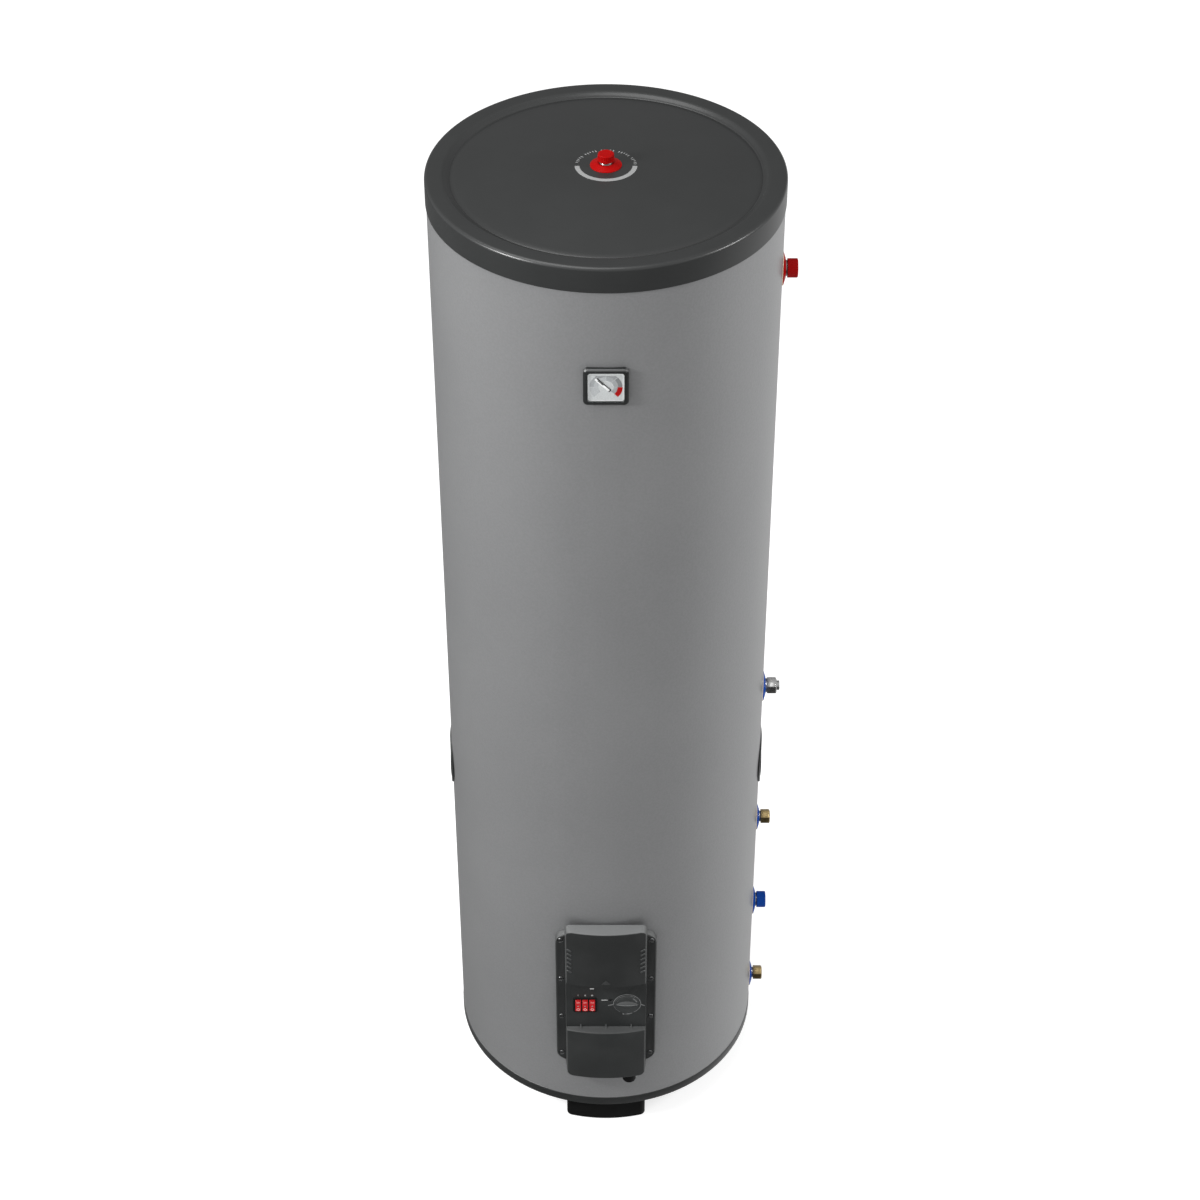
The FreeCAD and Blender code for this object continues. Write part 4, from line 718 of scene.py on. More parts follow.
def ribbedCap(outer, bore, low, high, covered, place):
    # cap with fine grip ribs and a rounded end; a row is how far ribbed, how far in, and its level
    count, rounding = cap["ribs"] * cap["perRib"], cap["endRound"]
    rows = [(0.0, cap["chamfer"], low), (0.0, 0.0, low + cap["foot"])]
    rows += [(1.0, 0.0, low + cap["ribStart"]), (1.0, 0.0, high - cap["ribEnd"])]
    for step in range(1, cap["endRows"] + 1):
        share = step / cap["endRows"]
        across, up = polar(rounding, 90 * share)
        rows.append((1.0 - share, rounding - across, high - cap["endLevel"] + up))
    floor, middle = high - cap["dish"], outer - cap["axis"]
    rows.append((0.0, outer * cap["dishOuter"], high - cap["dishEdge"]))
    rows += [(0.0, outer * cap["dishInner"], floor), (0.0, middle, floor), (0.0, middle, covered)]
    rows += [(0.0, outer - bore, covered), (0.0, outer - bore, low)]
    points = []
    for ribbing, inset, level in rows:
        for index in range(count):
            wave = 0.5 - 0.5 * polar(1.0, 360 * index / cap["perRib"])[0]
            radius = outer - inset - ribbing * cap["ribDepth"] * wave
            points.append(place(*polar(radius, 360 * index / count), level))
    return points, wrapped(len(rows), count)


def collarOutline(inner, outer, back, base=0.0):
    # moulded collar: rounded rim, a shallow cone and a rounded shoulder
    rise, rim, shoulder = pipe["rise"], pipe["rimRound"], pipe["shoulder"]
    turn = pipe["edge"] - rim
    outline = [(inner, back), (outer, back), (outer, turn)]
    outline += arc(outer - rim, turn, rim, *pipe["rimArc"])
    middle = (inner + pipe["shoulderInset"], rise - shoulder)
    outline += arc(*middle, shoulder, *pipe["shoulderArc"])
    outline += [(inner + pipe["mouth"], rise), (inner, rise - pipe["mouth"])]
    return [(radius, base + level) for radius, level in outline]


def roundSize(node, axis):
    # radius and both ends of a round CAD node that lies along an axis
    low, high = sides(node)
    across = 2 if axis == 0 else 0
    return (high[across] - low[across]) / 2, low[axis], high[axis]


def buildPort(port, closing):
    stub, ring, count = port + "_stub", port + "_rosette", pipe["collarSides"]
    onLid = port == "safety_port"
    name, axis = ("safety", 2) if onLid else (port, 0)
    height = centreOf(stub).z
    outer, low, high = roundSize(stub, axis)
    reach, _, face = roundSize(ring, axis)
    seat = face - pipe["rise"]

    def outward(x, y, z):
        # a side connection is built about Z and points along X
        return spot(x, y, z) if onLid else spot(z, y, height - x)

    def followJacket(x, y, z):
        return spot(math.sqrt(seat ** 2 - y ** 2) + z, y, height - x)

    def onJacket(x, y, z):
        # the back of the collar follows the jacket, its front is flat
        return followJacket(x, y, z) if z < 0.0 else spot(seat + z, y, height - x)

    shape = threaded(outer, low, face + pipe["bare"], high, outward)
    addPiece(name + "Thread", shape, stub, None, "thread")
    inner = outer + pipe["gap"]
    if onLid:
        shape = spin(collarOutline(inner, reach, pipe["lidBack"], seat), count, spot)
    else:
        shape = spin(collarOutline(inner, reach, pipe["back"]), count, onJacket)
    addPiece(name + "Collar", shape, ring, None, "round")
    if not onLid:
        wide, rise, lift = pipe["sealWidth"], pipe["sealRise"], pipe["sealLift"]
        inside = reach - pipe["sealIn"]
        out, up = pipe["sealSlope"]
        seal = [(inside, lift), (reach + wide, lift), (reach + wide * out, rise * up)]
        seal += [(reach + pipe["sealTop"], rise), (inside, rise)]
        # cream plastic, as the terminal block
        addDetail(port + "Seal", spin(seal, count, followJacket), "terminal_block")
    if closing == "cap":
        radius, start, end = roundSize(port + "_cap", axis)
        shape = ribbedCap(radius, outer + cap["bore"], start, end, high + cap["cover"], outward)
        addPiece(name + "Cap", shape, port + "_cap", None, "round")
    elif closing == "nut":
        softCopy(port + "Nut", port + "_cap", pipe["nutEdge"])
    else:
        softCopy(port + "Plug", port + "_plug", pipe["nutEdge"])


for port, closing in closings.items():
    buildPort(port, closing)
print("pipe connections made")


# control box

box = {
    "edge": 0.7, "frameEdge": 0.8, "bezelEdge": 0.35, "rockerEdge": 0.45,
    "frontEdge": 2.4, "innerEdge": 0.8, "crownRadius": 285.0, "crownNear": 0.6, "crownUp": 0.8,
    "halfWidth": 77.0, "widthDepth": 274.4, "draft": 7.4, "corner": 10.0, "wall": 2.5,
    "relief": 0.4, "coverStart": 380.0, "settle": 3,
    "rows": 14, "columns": 24, "cornerTurns": 8, "edgeTurns": 5,
    "hookSide": 67.5, "hookFront": 294.1, "hookThickness": 2.6, "hookGap": 2.0, "hookTop": 534.9,
    "ledge": 305.65, "panelDepth": 297.0, "webReach": 6.9, "webHeight": 5.95, "webWidth": 1.8,
    "webSpacing": 47.0, "webProud": 0.25, "webFoot": 0.1, "webBack": 0.15,
    "arrowWidth": 16.7, "arrowHeight": 11.2, "arrowLow": 439.0, "arrowRows": 5, "arrowFill": 0.72,
    "arrowThick": 0.35,
}
rib = {"count": 6, "centre": 67.6, "low": 34.1, "pitch": 11.0, "long": 9.0, "wide": 4.2,
       "proud": 1.3, "lean": 28.0, "sink": 0.6, "chamfer": 0.9, "ends": ((0.5, 0.45), (0.44, 0.9)),
       "straight": 0.36, "steps": 3, "pastEdge": 0.98}
screw = {"head": 4.6, "height": 2.2, "base": 0.5, "dome": 1.7, "domeArc": (0, 80, 6),
         "sides": 36, "slotLong": 4.6, "slotWide": 1.0, "slotDeep": 1.2, "cutter": 3.0,
         "shank": 1.95, "shankLong": 19.9, "shankIn": 0.2, "shankSides": 16, "rows": 4,
         "turn": 25, "rowTurn": 40, "sideTurn": 15}
gland = {"dome": 12.6, "domeRound": 3.0, "domeArc": (-75, 0, 6), "nut": 20.0,
         "nutStart": 6.0, "nutEdge": 0.6, "nutLow": 5.0, "nutFlat": 4.4, "neck": 8.0,
         "bore": 4.5, "sides": 72}


def subtract(mesh, cutter):
    tool = addObject("tool", cutter)
    settings = {"operation": "DIFFERENCE", "solver": "EXACT", "object": tool}
    result = applied(mesh, "BOOLEAN", settings)
    bpy.data.objects.remove(tool)
    return result


frontDepth = -sides("control_housing")[0].y


def halfAt(depth):
    # half the box's width at a depth: its sides lean in towards the front
    return box["halfWidth"] - (depth - box["widthDepth"]) * math.tan(math.radians(box["draft"]))


def crownAt(x, inset=0.0):
    # depth of the bowed front at a distance from the middle
    bow = box["crownRadius"]
    return frontDepth - bow + math.sqrt((bow - inset) ** 2 - x * x)


def coverAt(x, inset=0.0):
    # the cover's front lies a little back so that its raised arrow stays level with the box
    return crownAt(x, inset) - box["relief"]


def coverSkin(inset, edge, back, bottom, top):
    # one face of the hood: its bowed front in rows, then rings out over the rounded edge and back
    # along the walls; a level is a height, or None and the turn round the upper corner
    corner, rows, columns = box["corner"], box["rows"], box["columns"]
    quarter = math.pi / 2
    levels = [(bottom + (top - corner - bottom) * step / rows, 0.0) for step in range(rows + 1)]
    turns, edges = box["cornerTurns"], box["edgeTurns"]
    levels += [(None, quarter * step / turns) for step in range(1, turns + 1)]

    def place(share, level, radius, depth):
        height, turn = level
        x = share * (halfAt(depth) - corner) + math.copysign(radius * math.cos(turn), share)
        z = top - corner + radius * math.sin(turn) if height is None else height
        return x, depth, z

    inner = corner - inset - edge
    points, outline = [], []
    for level in levels:
        depth = coverAt(0.0, inset)
        for again in range(box["settle"]):  # the half width and the bow settle on each other
            reach = place(1.0, level, inner, depth)[0]
            depth = coverAt(reach, inset)
        for column in range(columns + 1):
            x = reach * (2 * column / columns - 1)
            points.append((x, coverAt(x, inset), place(1.0, level, inner, depth)[2]))
    size = columns + 1
    last = len(levels) - 1
    faces = woven(len(levels), size)
    # the left side upwards, the top from left to right and the right side downwards
    outline += [(row * size, -1.0, levels[row]) for row in range(last + 1)]
    for column in range(1, columns):
        outline.append((last * size + column, 2 * column / columns - 1, levels[last]))
    outline += [(row * size + columns, 1.0, levels[row]) for row in range(last, -1, -1)]
    rings = [[start for start, share, level in outline]]
    bends = [quarter * step / edges for step in range(1, edges + 1)]
    steps = [(inner + edge * math.sin(bend), edge * (1 - math.cos(bend))) for bend in bends]
    for radius, drop in steps + [(corner - inset, None)]:
        ring = []
        for start, share, level in outline:
            depth = back if drop is None else points[start][1] - drop
            ring.append(len(points))
            points.append(place(share, level, radius, depth))
        for index in range(len(ring) - 1):
            faces.append((rings[-1][index], rings[-1][index + 1], ring[index + 1], ring[index]))
        rings.append(ring)
    left = [ring[0] for ring in reversed(rings[1:])]
    foot = left + list(range(size)) + [ring[-1] for ring in rings[1:]]
    return points, faces, foot, rings[-1]


def buildCover():
    low, high = sides("upper_cover")
    back, bottom, top = -high.y, low.z, high.z
    points, faces, foot, rim = coverSkin(0.0, box["frontEdge"], back, bottom, top)
    inside = coverSkin(box["wall"], box["innerEdge"], back, bottom, top)
    morePoints, moreFaces, innerFoot, innerRim = inside
    first = len(points)
    faces += [tuple(first + index for index in reversed(face)) for face in moreFaces]
    for outer, inner in ((foot, innerFoot), (rim, innerRim)):
        for index in range(len(outer) - 1):
            after = index + 1
            faces.append((outer[index], outer[after], first + inner[after], first + inner[index]))
    shell = [spot(x, -depth, z) for x, depth, z in points + morePoints]
    addPiece("slidingCover", (shell, faces), "upper_cover")
    # hooks that run behind the tray's rails
    wide = halfAt(box["hookFront"]) - box["wall"] / 2 - box["hookSide"]
    start, end = bottom + box["hookGap"], box["hookTop"]
    middles = [side * (box["hookSide"] + wide / 2) for side in (-1, 1)]
    hooks = [boxShape(middle, (start + end) / 2, wide, end - start) for middle in middles]
    ground = facing(box["hookFront"] - box["hookThickness"])
    addDetail("coverHooks", slab(hooks, ground, box["hookThickness"]), "upper_cover")
    buildRibs(bottom)


def buildRibs(bottom):
    # slanted finger ribs that follow the cover's rounded edges
    edge = box["frontEdge"]

    def onSkin(x, z, lift):
        depth = coverAt(abs(x)) - edge
        past = min(max(abs(x) - halfAt(depth + edge) + edge, 0.0), edge * rib["pastEdge"])
        return spot(x, -(depth + math.sqrt(edge * edge - past * past) + lift), z)

    half, proud, sink = rib["wide"] / 2, rib["proud"], -rib["sink"]
    flat, chamfer = half - rib["chamfer"], proud - rib["chamfer"]
    profile = [(-half, sink), (-half, chamfer), (-flat, proud), (flat, proud), (half, chamfer)]
    profile.append((half, sink))
    straight, steps = rib["straight"], rib["steps"]
    stations = [(-share, full) for share, full in rib["ends"]]
    stations += [(straight * (step / steps - 1), 1.0) for step in range(2 * steps + 1)]
    stations += list(reversed(rib["ends"]))
    ribs = []
    for side in (-1, 1):
        for row in range(rib["count"]):
            middle = bottom + rib["low"] + rib["pitch"] * row
            points = []
            for share, full in stations:
                for across, lift in profile:
                    out, up = turned(share * rib["long"], across * full, rib["lean"])
                    x = side * (rib["centre"] + out)
                    points.append(onSkin(x, middle + up, lift if lift < 0 else lift * full))
            size, count = len(profile), len(points)
            faces = wrapped(len(stations), size, False)
            faces += [tuple(range(size)), tuple(range(count - 1, count - size - 1, -1))]
            ribs.append((points, faces))
    # the ribs take the lighter rib plastic: a painted highlight
    addDetail("coverRibs", joined(ribs), "upper_cover", extra["rib"], "round")


def onCrownFront(face):
    centre = face.calc_center_median() / mm
    low = face.normal.y < -box["crownUp"] and centre.z < box["coverStart"]
    return low and abs(-centre.y - crownAt(centre.x)) < box["crownNear"]


def buildWebs():
    # pale edges of the three webs on the ledge, in the lighter rib plastic: a painted highlight
    panel, ledge = box["panelDepth"], box["ledge"]
    reach, top, proud = panel + box["webReach"], ledge + box["webHeight"], box["webProud"]
    corners = [(reach, ledge), (reach + proud, ledge + box["webFoot"]),
               (panel + box["webBack"], top + proud), (panel, top)]
    webs = []
    for index in (-1, 0, 1):
        middle = index * box["webSpacing"]
        ends = [middle + side * box["webWidth"] / 2 for side in (-1, 1)]
        points = [spot(x, -depth, z) for x in ends for depth, z in corners]
        faces = wrapped(2, 4, False) + [(0, 1, 2, 3), (7, 6, 5, 4)]
        webs.append((points, faces))
    addDetail("webEdges", joined(webs), "control_housing", extra["rib"])


def buildArrow():
    # raised arrow on the cover, in bars that grow shorter
    def onCover(u, v, lift):
        return spot(u, -(coverAt(u) + lift), v)

    rows, fill, half = box["arrowRows"], box["arrowFill"], box["arrowWidth"] / 2
    bars = []
    for row in range(rows):
        ends = []
        for share in (row / rows, (row + fill) / rows):
            ends.append((half * (1 - share), box["arrowLow"] + box["arrowHeight"] * share))
        (wide, bottom), (narrow, top) = ends
        bars.append([(-wide, bottom), (wide, bottom), (narrow, top), (-narrow, top)])
    addDetail("coverArrow", slab(bars, onCover, box["arrowThick"]), "upper_cover", extra["arrow"])


def buildScrews():
    # pan-head screws with crossed slots
    low, high = sides("frame_screws")
    seat = -low.y - screw["height"]
    head, dome, base, tall = screw["head"], screw["dome"], screw["base"], screw["height"]
    profile = [(nearAxis, 0.0), (head, 0.0), (head, base)]
    profile += arc(head - dome, base, dome, *screw["domeArc"]) + [(nearAxis, tall)]
    mesh = meshFrom("screwHead", *spin(profile, screw["sides"], lambda *point: point))
    long, wide = screw["slotLong"], screw["slotWide"]

    def inHead(u, v, lift):
        return u, v, tall - screw["slotDeep"] + lift

    for size in ((long, wide), (wide, long)):
        slot = slab([boxShape(0, 0, *size)], inHead, screw["cutter"])
        mesh = subtract(mesh, meshFrom("slot", *slot))
    shank = [(nearAxis, -screw["shankLong"]), (screw["shank"], -screw["shankLong"]),
             (screw["shank"], screw["shankIn"]), (nearAxis, screw["shankIn"])]
    faces = [tuple(face.vertices) for face in mesh.polygons]
    last = screw["rows"] - 1
    heads = []
    for side in (-1, 1):
        for row in range(screw["rows"]):
            x = side * (high.x - head)
            z = low.z + head + (high.z - low.z - 2 * head) * row / last
            turn = screw["turn"] + screw["rowTurn"] * row + screw["sideTurn"] * side

            def seated(u, v, lift, x=x, z=z):
                return spot(x + u, -(seat + lift), z + v)

            spots = [vertex.co for vertex in mesh.vertices]
            points = [seated(*turned(point.x, point.y, turn), point.z) for point in spots]
            heads += [(points, faces), spin(shank, screw["shankSides"], seated)]
    addPiece("frameScrews", joined(heads), "frame_screws", extra["screw"])


def buildGland():
    # cable gland with a ribbed nut
    low, high = sides("cable_gland")
    centre = (low + high) / 2
    wide, dome, rounding = (high.x - low.x) / 2, gland["dome"], gland["domeRound"]
    top = low.z + gland["nut"]
    edge = gland["nutEdge"]
    outline = [(gland["bore"], low.z), (dome - rounding, low.z)]
    outline += arc(dome - rounding, low.z + rounding, rounding, *gland["domeArc"])
    outline += [(dome, top - gland["nutStart"]), (wide - edge, top - gland["nutLow"])]
    outline += [(wide, top - gland["nutFlat"]), (wide, top - edge), (wide - edge, top)]
    outline += [(gland["neck"], top), (gland["neck"], high.z), (gland["bore"], high.z)]
    shape = spin(outline, gland["sides"], lambda x, y, z: spot(centre.x + x, centre.y + y, z))
    addPiece("supplyGland", shape, "cable_gland", extra["footBlack"])


crown = {"pick": onCrownFront, "where": lambda middle: True, "width": box["frontEdge"],
         "keep": False}

softCopy("housingShell", "control_housing", box["edge"], extra["housing"], crown)
buildCover()
softCopy("backFrame", "mounting_frame", box["frameEdge"], finishes["cover_plastic"])
softCopy("switchBezel", "switch_frame", box["bezelEdge"], extra["bezel"])
for index in (1, 2, 3):
    softCopy(f"rocker{index}", f"rocker_{index}", box["rockerEdge"])
buildWebs()
buildArrow()
buildScrews()
buildGland()
print("control box made")


# knob and panel marks

knob = {
    "radius": 23.3, "thick": 1.4, "dish": 0.2, "shaft": 3.05, "sides": 120, "chamfer": 0.3,
    "rimRound": 0.5, "rimArc": (0, 90, 5), "dishRim": 1.3, "dishStart": 1.7, "bossDrop": 1.0,
    "gripLong": 43.6, "gripWide": 17.0, "gripRound": 0.16, "gripDrop": 0.6, "gripSink": 0.2,
    "stations": 40, "across": 24, "crestSteps": 30, "crestShare": 0.9, "crestFront": 1.0,
    "crestBack": 0.5, "crestThick": 0.05, "crestLift": 0.05, "thinnest": 0.05,
    "tickAngles": range(24, 53, 7), "tickReach": (5.4, 3.0), "tickHalf": 1.8,
    "dotAngles": range(62, 158, 9), "dotReach": (4.0, 2.8), "dotHalf": 1.6, "inkThick": 0.1,
}


def buildKnob():
    low, high = sides("knob")
    centre = (low + high) / 2
    back, front = -high.y, -low.y

    def onKnob(x, y, z):
        return spot(centre.x + x, -z, centre.z + y)

    radius, face = knob["radius"], back + knob["thick"]
    dish = face - knob["dish"]
    shaft, chamfer, rounding = knob["shaft"], knob["chamfer"], knob["rimRound"]
    boss = face - knob["bossDrop"]
    outline = [(shaft, back), (radius - chamfer, back), (radius, back + chamfer)]
    outline += arc(radius - rounding, face - rounding, rounding, *knob["rimArc"])
    outline += [(radius - knob["dishRim"], face), (radius - knob["dishStart"], dish)]
    outline += [(nearAxis, dish), (nearAxis, boss), (shaft, boss)]
    addPiece("knobDisc", spin(outline, knob["sides"], onKnob), "knob", extra["knob"])
    # boat-shaped grip: a rounded ridge that falls to nothing at both ends
    half, side = knob["gripLong"] / 2, knob["gripWide"] / 2
    rise = front - face - knob["gripDrop"]
    edge = knob["gripRound"]
    most = math.sqrt(1 + edge * edge)

    def ridge(lean, share):
        return face + rise * share * (most - math.sqrt(lean * lean + edge * edge)) / (most - edge)

    stations, across = knob["stations"], knob["across"]
    alongs = [-1 + 2 * station / stations for station in range(stations + 1)]
    points = []
    for along in alongs:
        share = 1 - along * along
        for step in range(across + 1):
            lean = -1 + 2 * step / across
            points.append(onKnob(half * along, side * share * lean, ridge(lean, share)))
    size, top = across + 1, len(points)
    faces = woven(stations + 1, size)
    for along in alongs:
        for lean in (-1, 1):
            width = side * (1 - along * along) * lean
            points.append(onKnob(half * along, width, dish - knob["gripSink"]))
    for station in range(stations):
        here, there = station * size, (station + 1) * size
        near, far = top + station * 2, top + station * 2 + 2
        faces.append((near, far, there, here))
        faces.append((here + across, there + across, far + 1, near + 1))
        faces.append((near, near + 1, far + 1, far))
    addDetail("knobGrip", (points, faces), "knob", extra["grip"], "grip")

    def onCrest(u, v, lift):
        share = 1 - (u / half) ** 2
        lean = v / side / max(share, knob["thinnest"])
        return onKnob(u, v, ridge(lean, share) + knob["crestLift"] + lift)

    # painted highlight: a pale strip along the grip's crest, where it catches the light
    wearAndHighlight, steps = [], knob["crestSteps"]
    for step in range(steps):
        ends = [(2 * index / steps - 1) * knob["crestShare"] * half for index in (step, step + 1)]
        wides = [1 - (end / half) ** 2 for end in ends]
        fronts = [(end, -wide * knob["crestFront"]) for end, wide in zip(ends, wides)]
        backs = [(end, wide * knob["crestBack"]) for end, wide in zip(ends, wides)]
        wearAndHighlight.append(fronts + backs[::-1])
    shape = slab(wearAndHighlight, onCrest, knob["crestThick"])
    addDetail("knobCrest", shape, "knob", extra["crest"], "grip")
    for name, kind, tone in (("knobTicks", "tick", "scale"), ("knobDots", "dot", "faint")):
        inner, outer = (radius - reach for reach in knob[kind + "Reach"])
        wide = knob[kind + "Half"]
        shapes = [bandShape(inner, outer, angle - wide, angle + wide, 1)
                  for angle in knob[kind + "Angles"]]
        shape = slab(shapes, lambda u, v, lift: onKnob(u, v, dish + lift), knob["inkThick"])
        addDetail(name, shape, "knob", extra[tone])


panel = {
    "markDepth": 0.1, "ringInner": 24.7, "ringOuter": 25.8, "ring": (-62, 182, 60),
    "lowRing": (184, 240, 16), "lowThin": 0.3, "whiskers": ((-1, 9.5), (1, 6.8)),
    "whiskerStart": 0.2, "whiskerNear": (-0.4, -2.2), "whiskerFar": (-3.3, -4.9),
    "swell": 16, "swellOut": 1.7, "swellFall": 1.5, "swellHalf": 0.35, "swellMore": 0.75,
    "swellFrom": 262, "swellSpan": 31, "swellStep": 2,
    "endMark": (2.2, 256), "endSize": (3.4, 2.4, 1.1),
    "numeral": 3.0, "numeralRise": 7.0, "barPitch": 1.3, "barWide": 0.65, "serif": 0.8,
    "serifThick": 0.35, "resetMark": (-2.8, 0.4), "resetSize": (11.8, 1.7, 0.8),
    "upperMark": (-26.0, 408.0, 8.0, 2.4, 1.1),
}


def buildScaleAndRimShading():
    # the scale on the panel round the knob; the band over the top stands in for the lit rim of the
    # knob, a painted highlight, and the fainter band low on the left for its rim in shade, painted
    # shade
    ground = facing(-sides("thermostat")[0].y)
    centre = centreOf("knob")
    middle = (centre.x, centre.z)
    inner, outer = panel["ringInner"], panel["ringOuter"]
    ring = bandPieces(inner, outer, *panel["ring"], middle)
    for side, reach in panel["whiskers"]:
        near, far = (centre.x + side * (outer + end) for end in (-panel["whiskerStart"], reach))
        corners = [(near, panel["whiskerNear"][0]), (near, panel["whiskerNear"][1]),
                   (far, panel["whiskerFar"][1]), (far, panel["whiskerFar"][0])]
        ring.append([(x, centre.z + up) for x, up in corners][::-side])
    for step in range(panel["swell"]):
        share = step / panel["swell"]
        radial = outer + panel["swellOut"] - panel["swellFall"] * share
        half = panel["swellHalf"] + panel["swellMore"] * math.sin(math.pi * share)
        start = panel["swellFrom"] + panel["swellSpan"] * share
        ends = (start, start + panel["swellStep"])
        ring.append(bandShape(radial - half, radial + half, *ends, 1, middle))
    out, turn = panel["endMark"]
    ring.append(roundedShape(*polar(outer + out, turn, *middle), *panel["endSize"]))
    # painted shade: the fainter band low on the left stands for the knob rim in shade
    rest = bandPieces(inner, outer - panel["lowThin"], *panel["lowRing"], middle)
    for name, shapes, tone in (("knobScaleAndRimHighlight", ring, "scale"), ("knobRimShade", rest, "faint")):
        shape = slab(shapes, ground, panel["markDepth"])
        addDetail(name, shape, "control_housing", extra[tone])


def buildPanelMarks():
    # strokes of one, two and three over the rockers, and two plain strokes
    shapes = []
    above, tall = sides("switch_frame")[1].z + panel["numeralRise"], panel["numeral"]
    pitch, wide, thick = panel["barPitch"], panel["barWide"], panel["serifThick"]
    for index in (1, 2, 3):
        middle = centreOf(f"rocker_{index}").x
        for bar in range(index):
            shapes.append(boxShape(middle + (bar - (index - 1) / 2) * pitch, above, wide, tall))
        serif = wide + pitch * (index - 1) + panel["serif"]
        shapes += [boxShape(middle, above + end * tall / 2, serif, thick) for end in (1, -1)]
    across, up = panel["resetMark"]
    shapes.append(roundedShape(across, centreOf("reset_button").z + up, *panel["resetSize"]))
    shapes.append(roundedShape(*panel["upperMark"]))
    shape = slab(shapes, facing(-sides("thermostat")[0].y), panel["markDepth"])
    addDetail("panelMarks", shape, "control_housing", extra["pale"])


rocker = {
    "length": 31.8, "high": 26.0, "hollow": 2.2, "lean": 8.0, "pivot": 294.0, "lift": 0.02,
    "onMark": (0, 12.0, 6.5, 2.6, 1.0), "offMark": (1.7, 3.2, 0, 360, 24, (0.0, -10.4)),
    "hint": [(-1.7, -2.6), (1.7, -2.6), (0.3, -0.2), (-0.3, -0.2)], "markThick": 0.12,
    "hintThick": 0.1,
}


def buildRockerMarks():
    reach, rise = polar(rocker["length"] / 2, rocker["high"])
    pivotZ = centreOf("switch_frame").z
    for index in (1, 2, 3):
        node = f"rocker_{index}"
        middle = centreOf(node).x

        def onRocker(u, v, lift, middle=middle):
            # the rocker's face falls to a hollow in its middle and leans about its pivot
            out = rise - rocker["hollow"] * (1 - abs(v) / reach) + lift + rocker["lift"]
            up, depth = turned(v, out, rocker["lean"])
            return spot(middle + u, -(rocker["pivot"] + depth), pivotZ + up)

        marks = [roundedShape(*rocker["onMark"])] + bandPieces(*rocker["offMark"])
        shape = slab(marks, onRocker, rocker["markThick"])
        addDetail(f"rockerMarks{index}", shape, node, extra["pink"])
        shape = slab([rocker["hint"]], onRocker, rocker["hintThick"])
        addDetail(f"rockerHint{index}", shape, node, extra["grey"])


buildKnob()
buildScaleAndRimShading()
buildPanelMarks()
buildRockerMarks()
print("knob and panel marks made")


# thermometer

gauge = {
    "edge": 0.5, "plateInset": 0.2, "plateCorner": 4.2, "border": 2.8, "borderCorner": 2.6,
    "outer": 25.5, "split": 18.5, "inner": 11.8, "top": 20.6, "gap": 0.9, "splitGap": 0.2,
    "thinMark": 0.06, "bandSteps": 16, "red": (0, -45), "redMore": 0.4, "redInk": 1.5, "chamfer": 2.4,
    "outerShare": 0.56, "frontDepth": 0.5, "frontUp": 0.95,
}
# start and end of each sector, and the tones of its outer and inner band
sectors = [(225, 180, "dialPale", "dialPale"), (180, 135, "dialLight", "dialPale"),
           (135, 90, "dialMid", "dialPale"), (90, 45, "dialMid", "dialLight"),
           (45, 0, "dialDark", "dialLight"), (0, -45, None, "dialLight")]
needle = {"edge": 0.12, "tip": 22.5, "tail": 9.5, "width": 5.6, "turn": 135.0, "hubRise": 0.2,
          "rim": 1.6, "rimOut": 0.1, "rimShort": 0.4, "rimNarrow": 0.3, "rimProud": 0.05,
          "slotFrom": 6.0, "slotTo": 18.0, "slotMore": 0.2, "slotWidth": 1.1}


def clipTop(outline, limit):
    # the part of an outline below a level
    kept = []
    for index, (u, v) in enumerate(outline):
        nextU, nextV = outline[(index + 1) % len(outline)]
        if v <= limit:
            kept.append((u, v))
        if (v <= limit) != (nextV <= limit):
            share = (limit - v) / (nextV - v)
            kept.append((u + (nextU - u) * share, limit))
    return kept


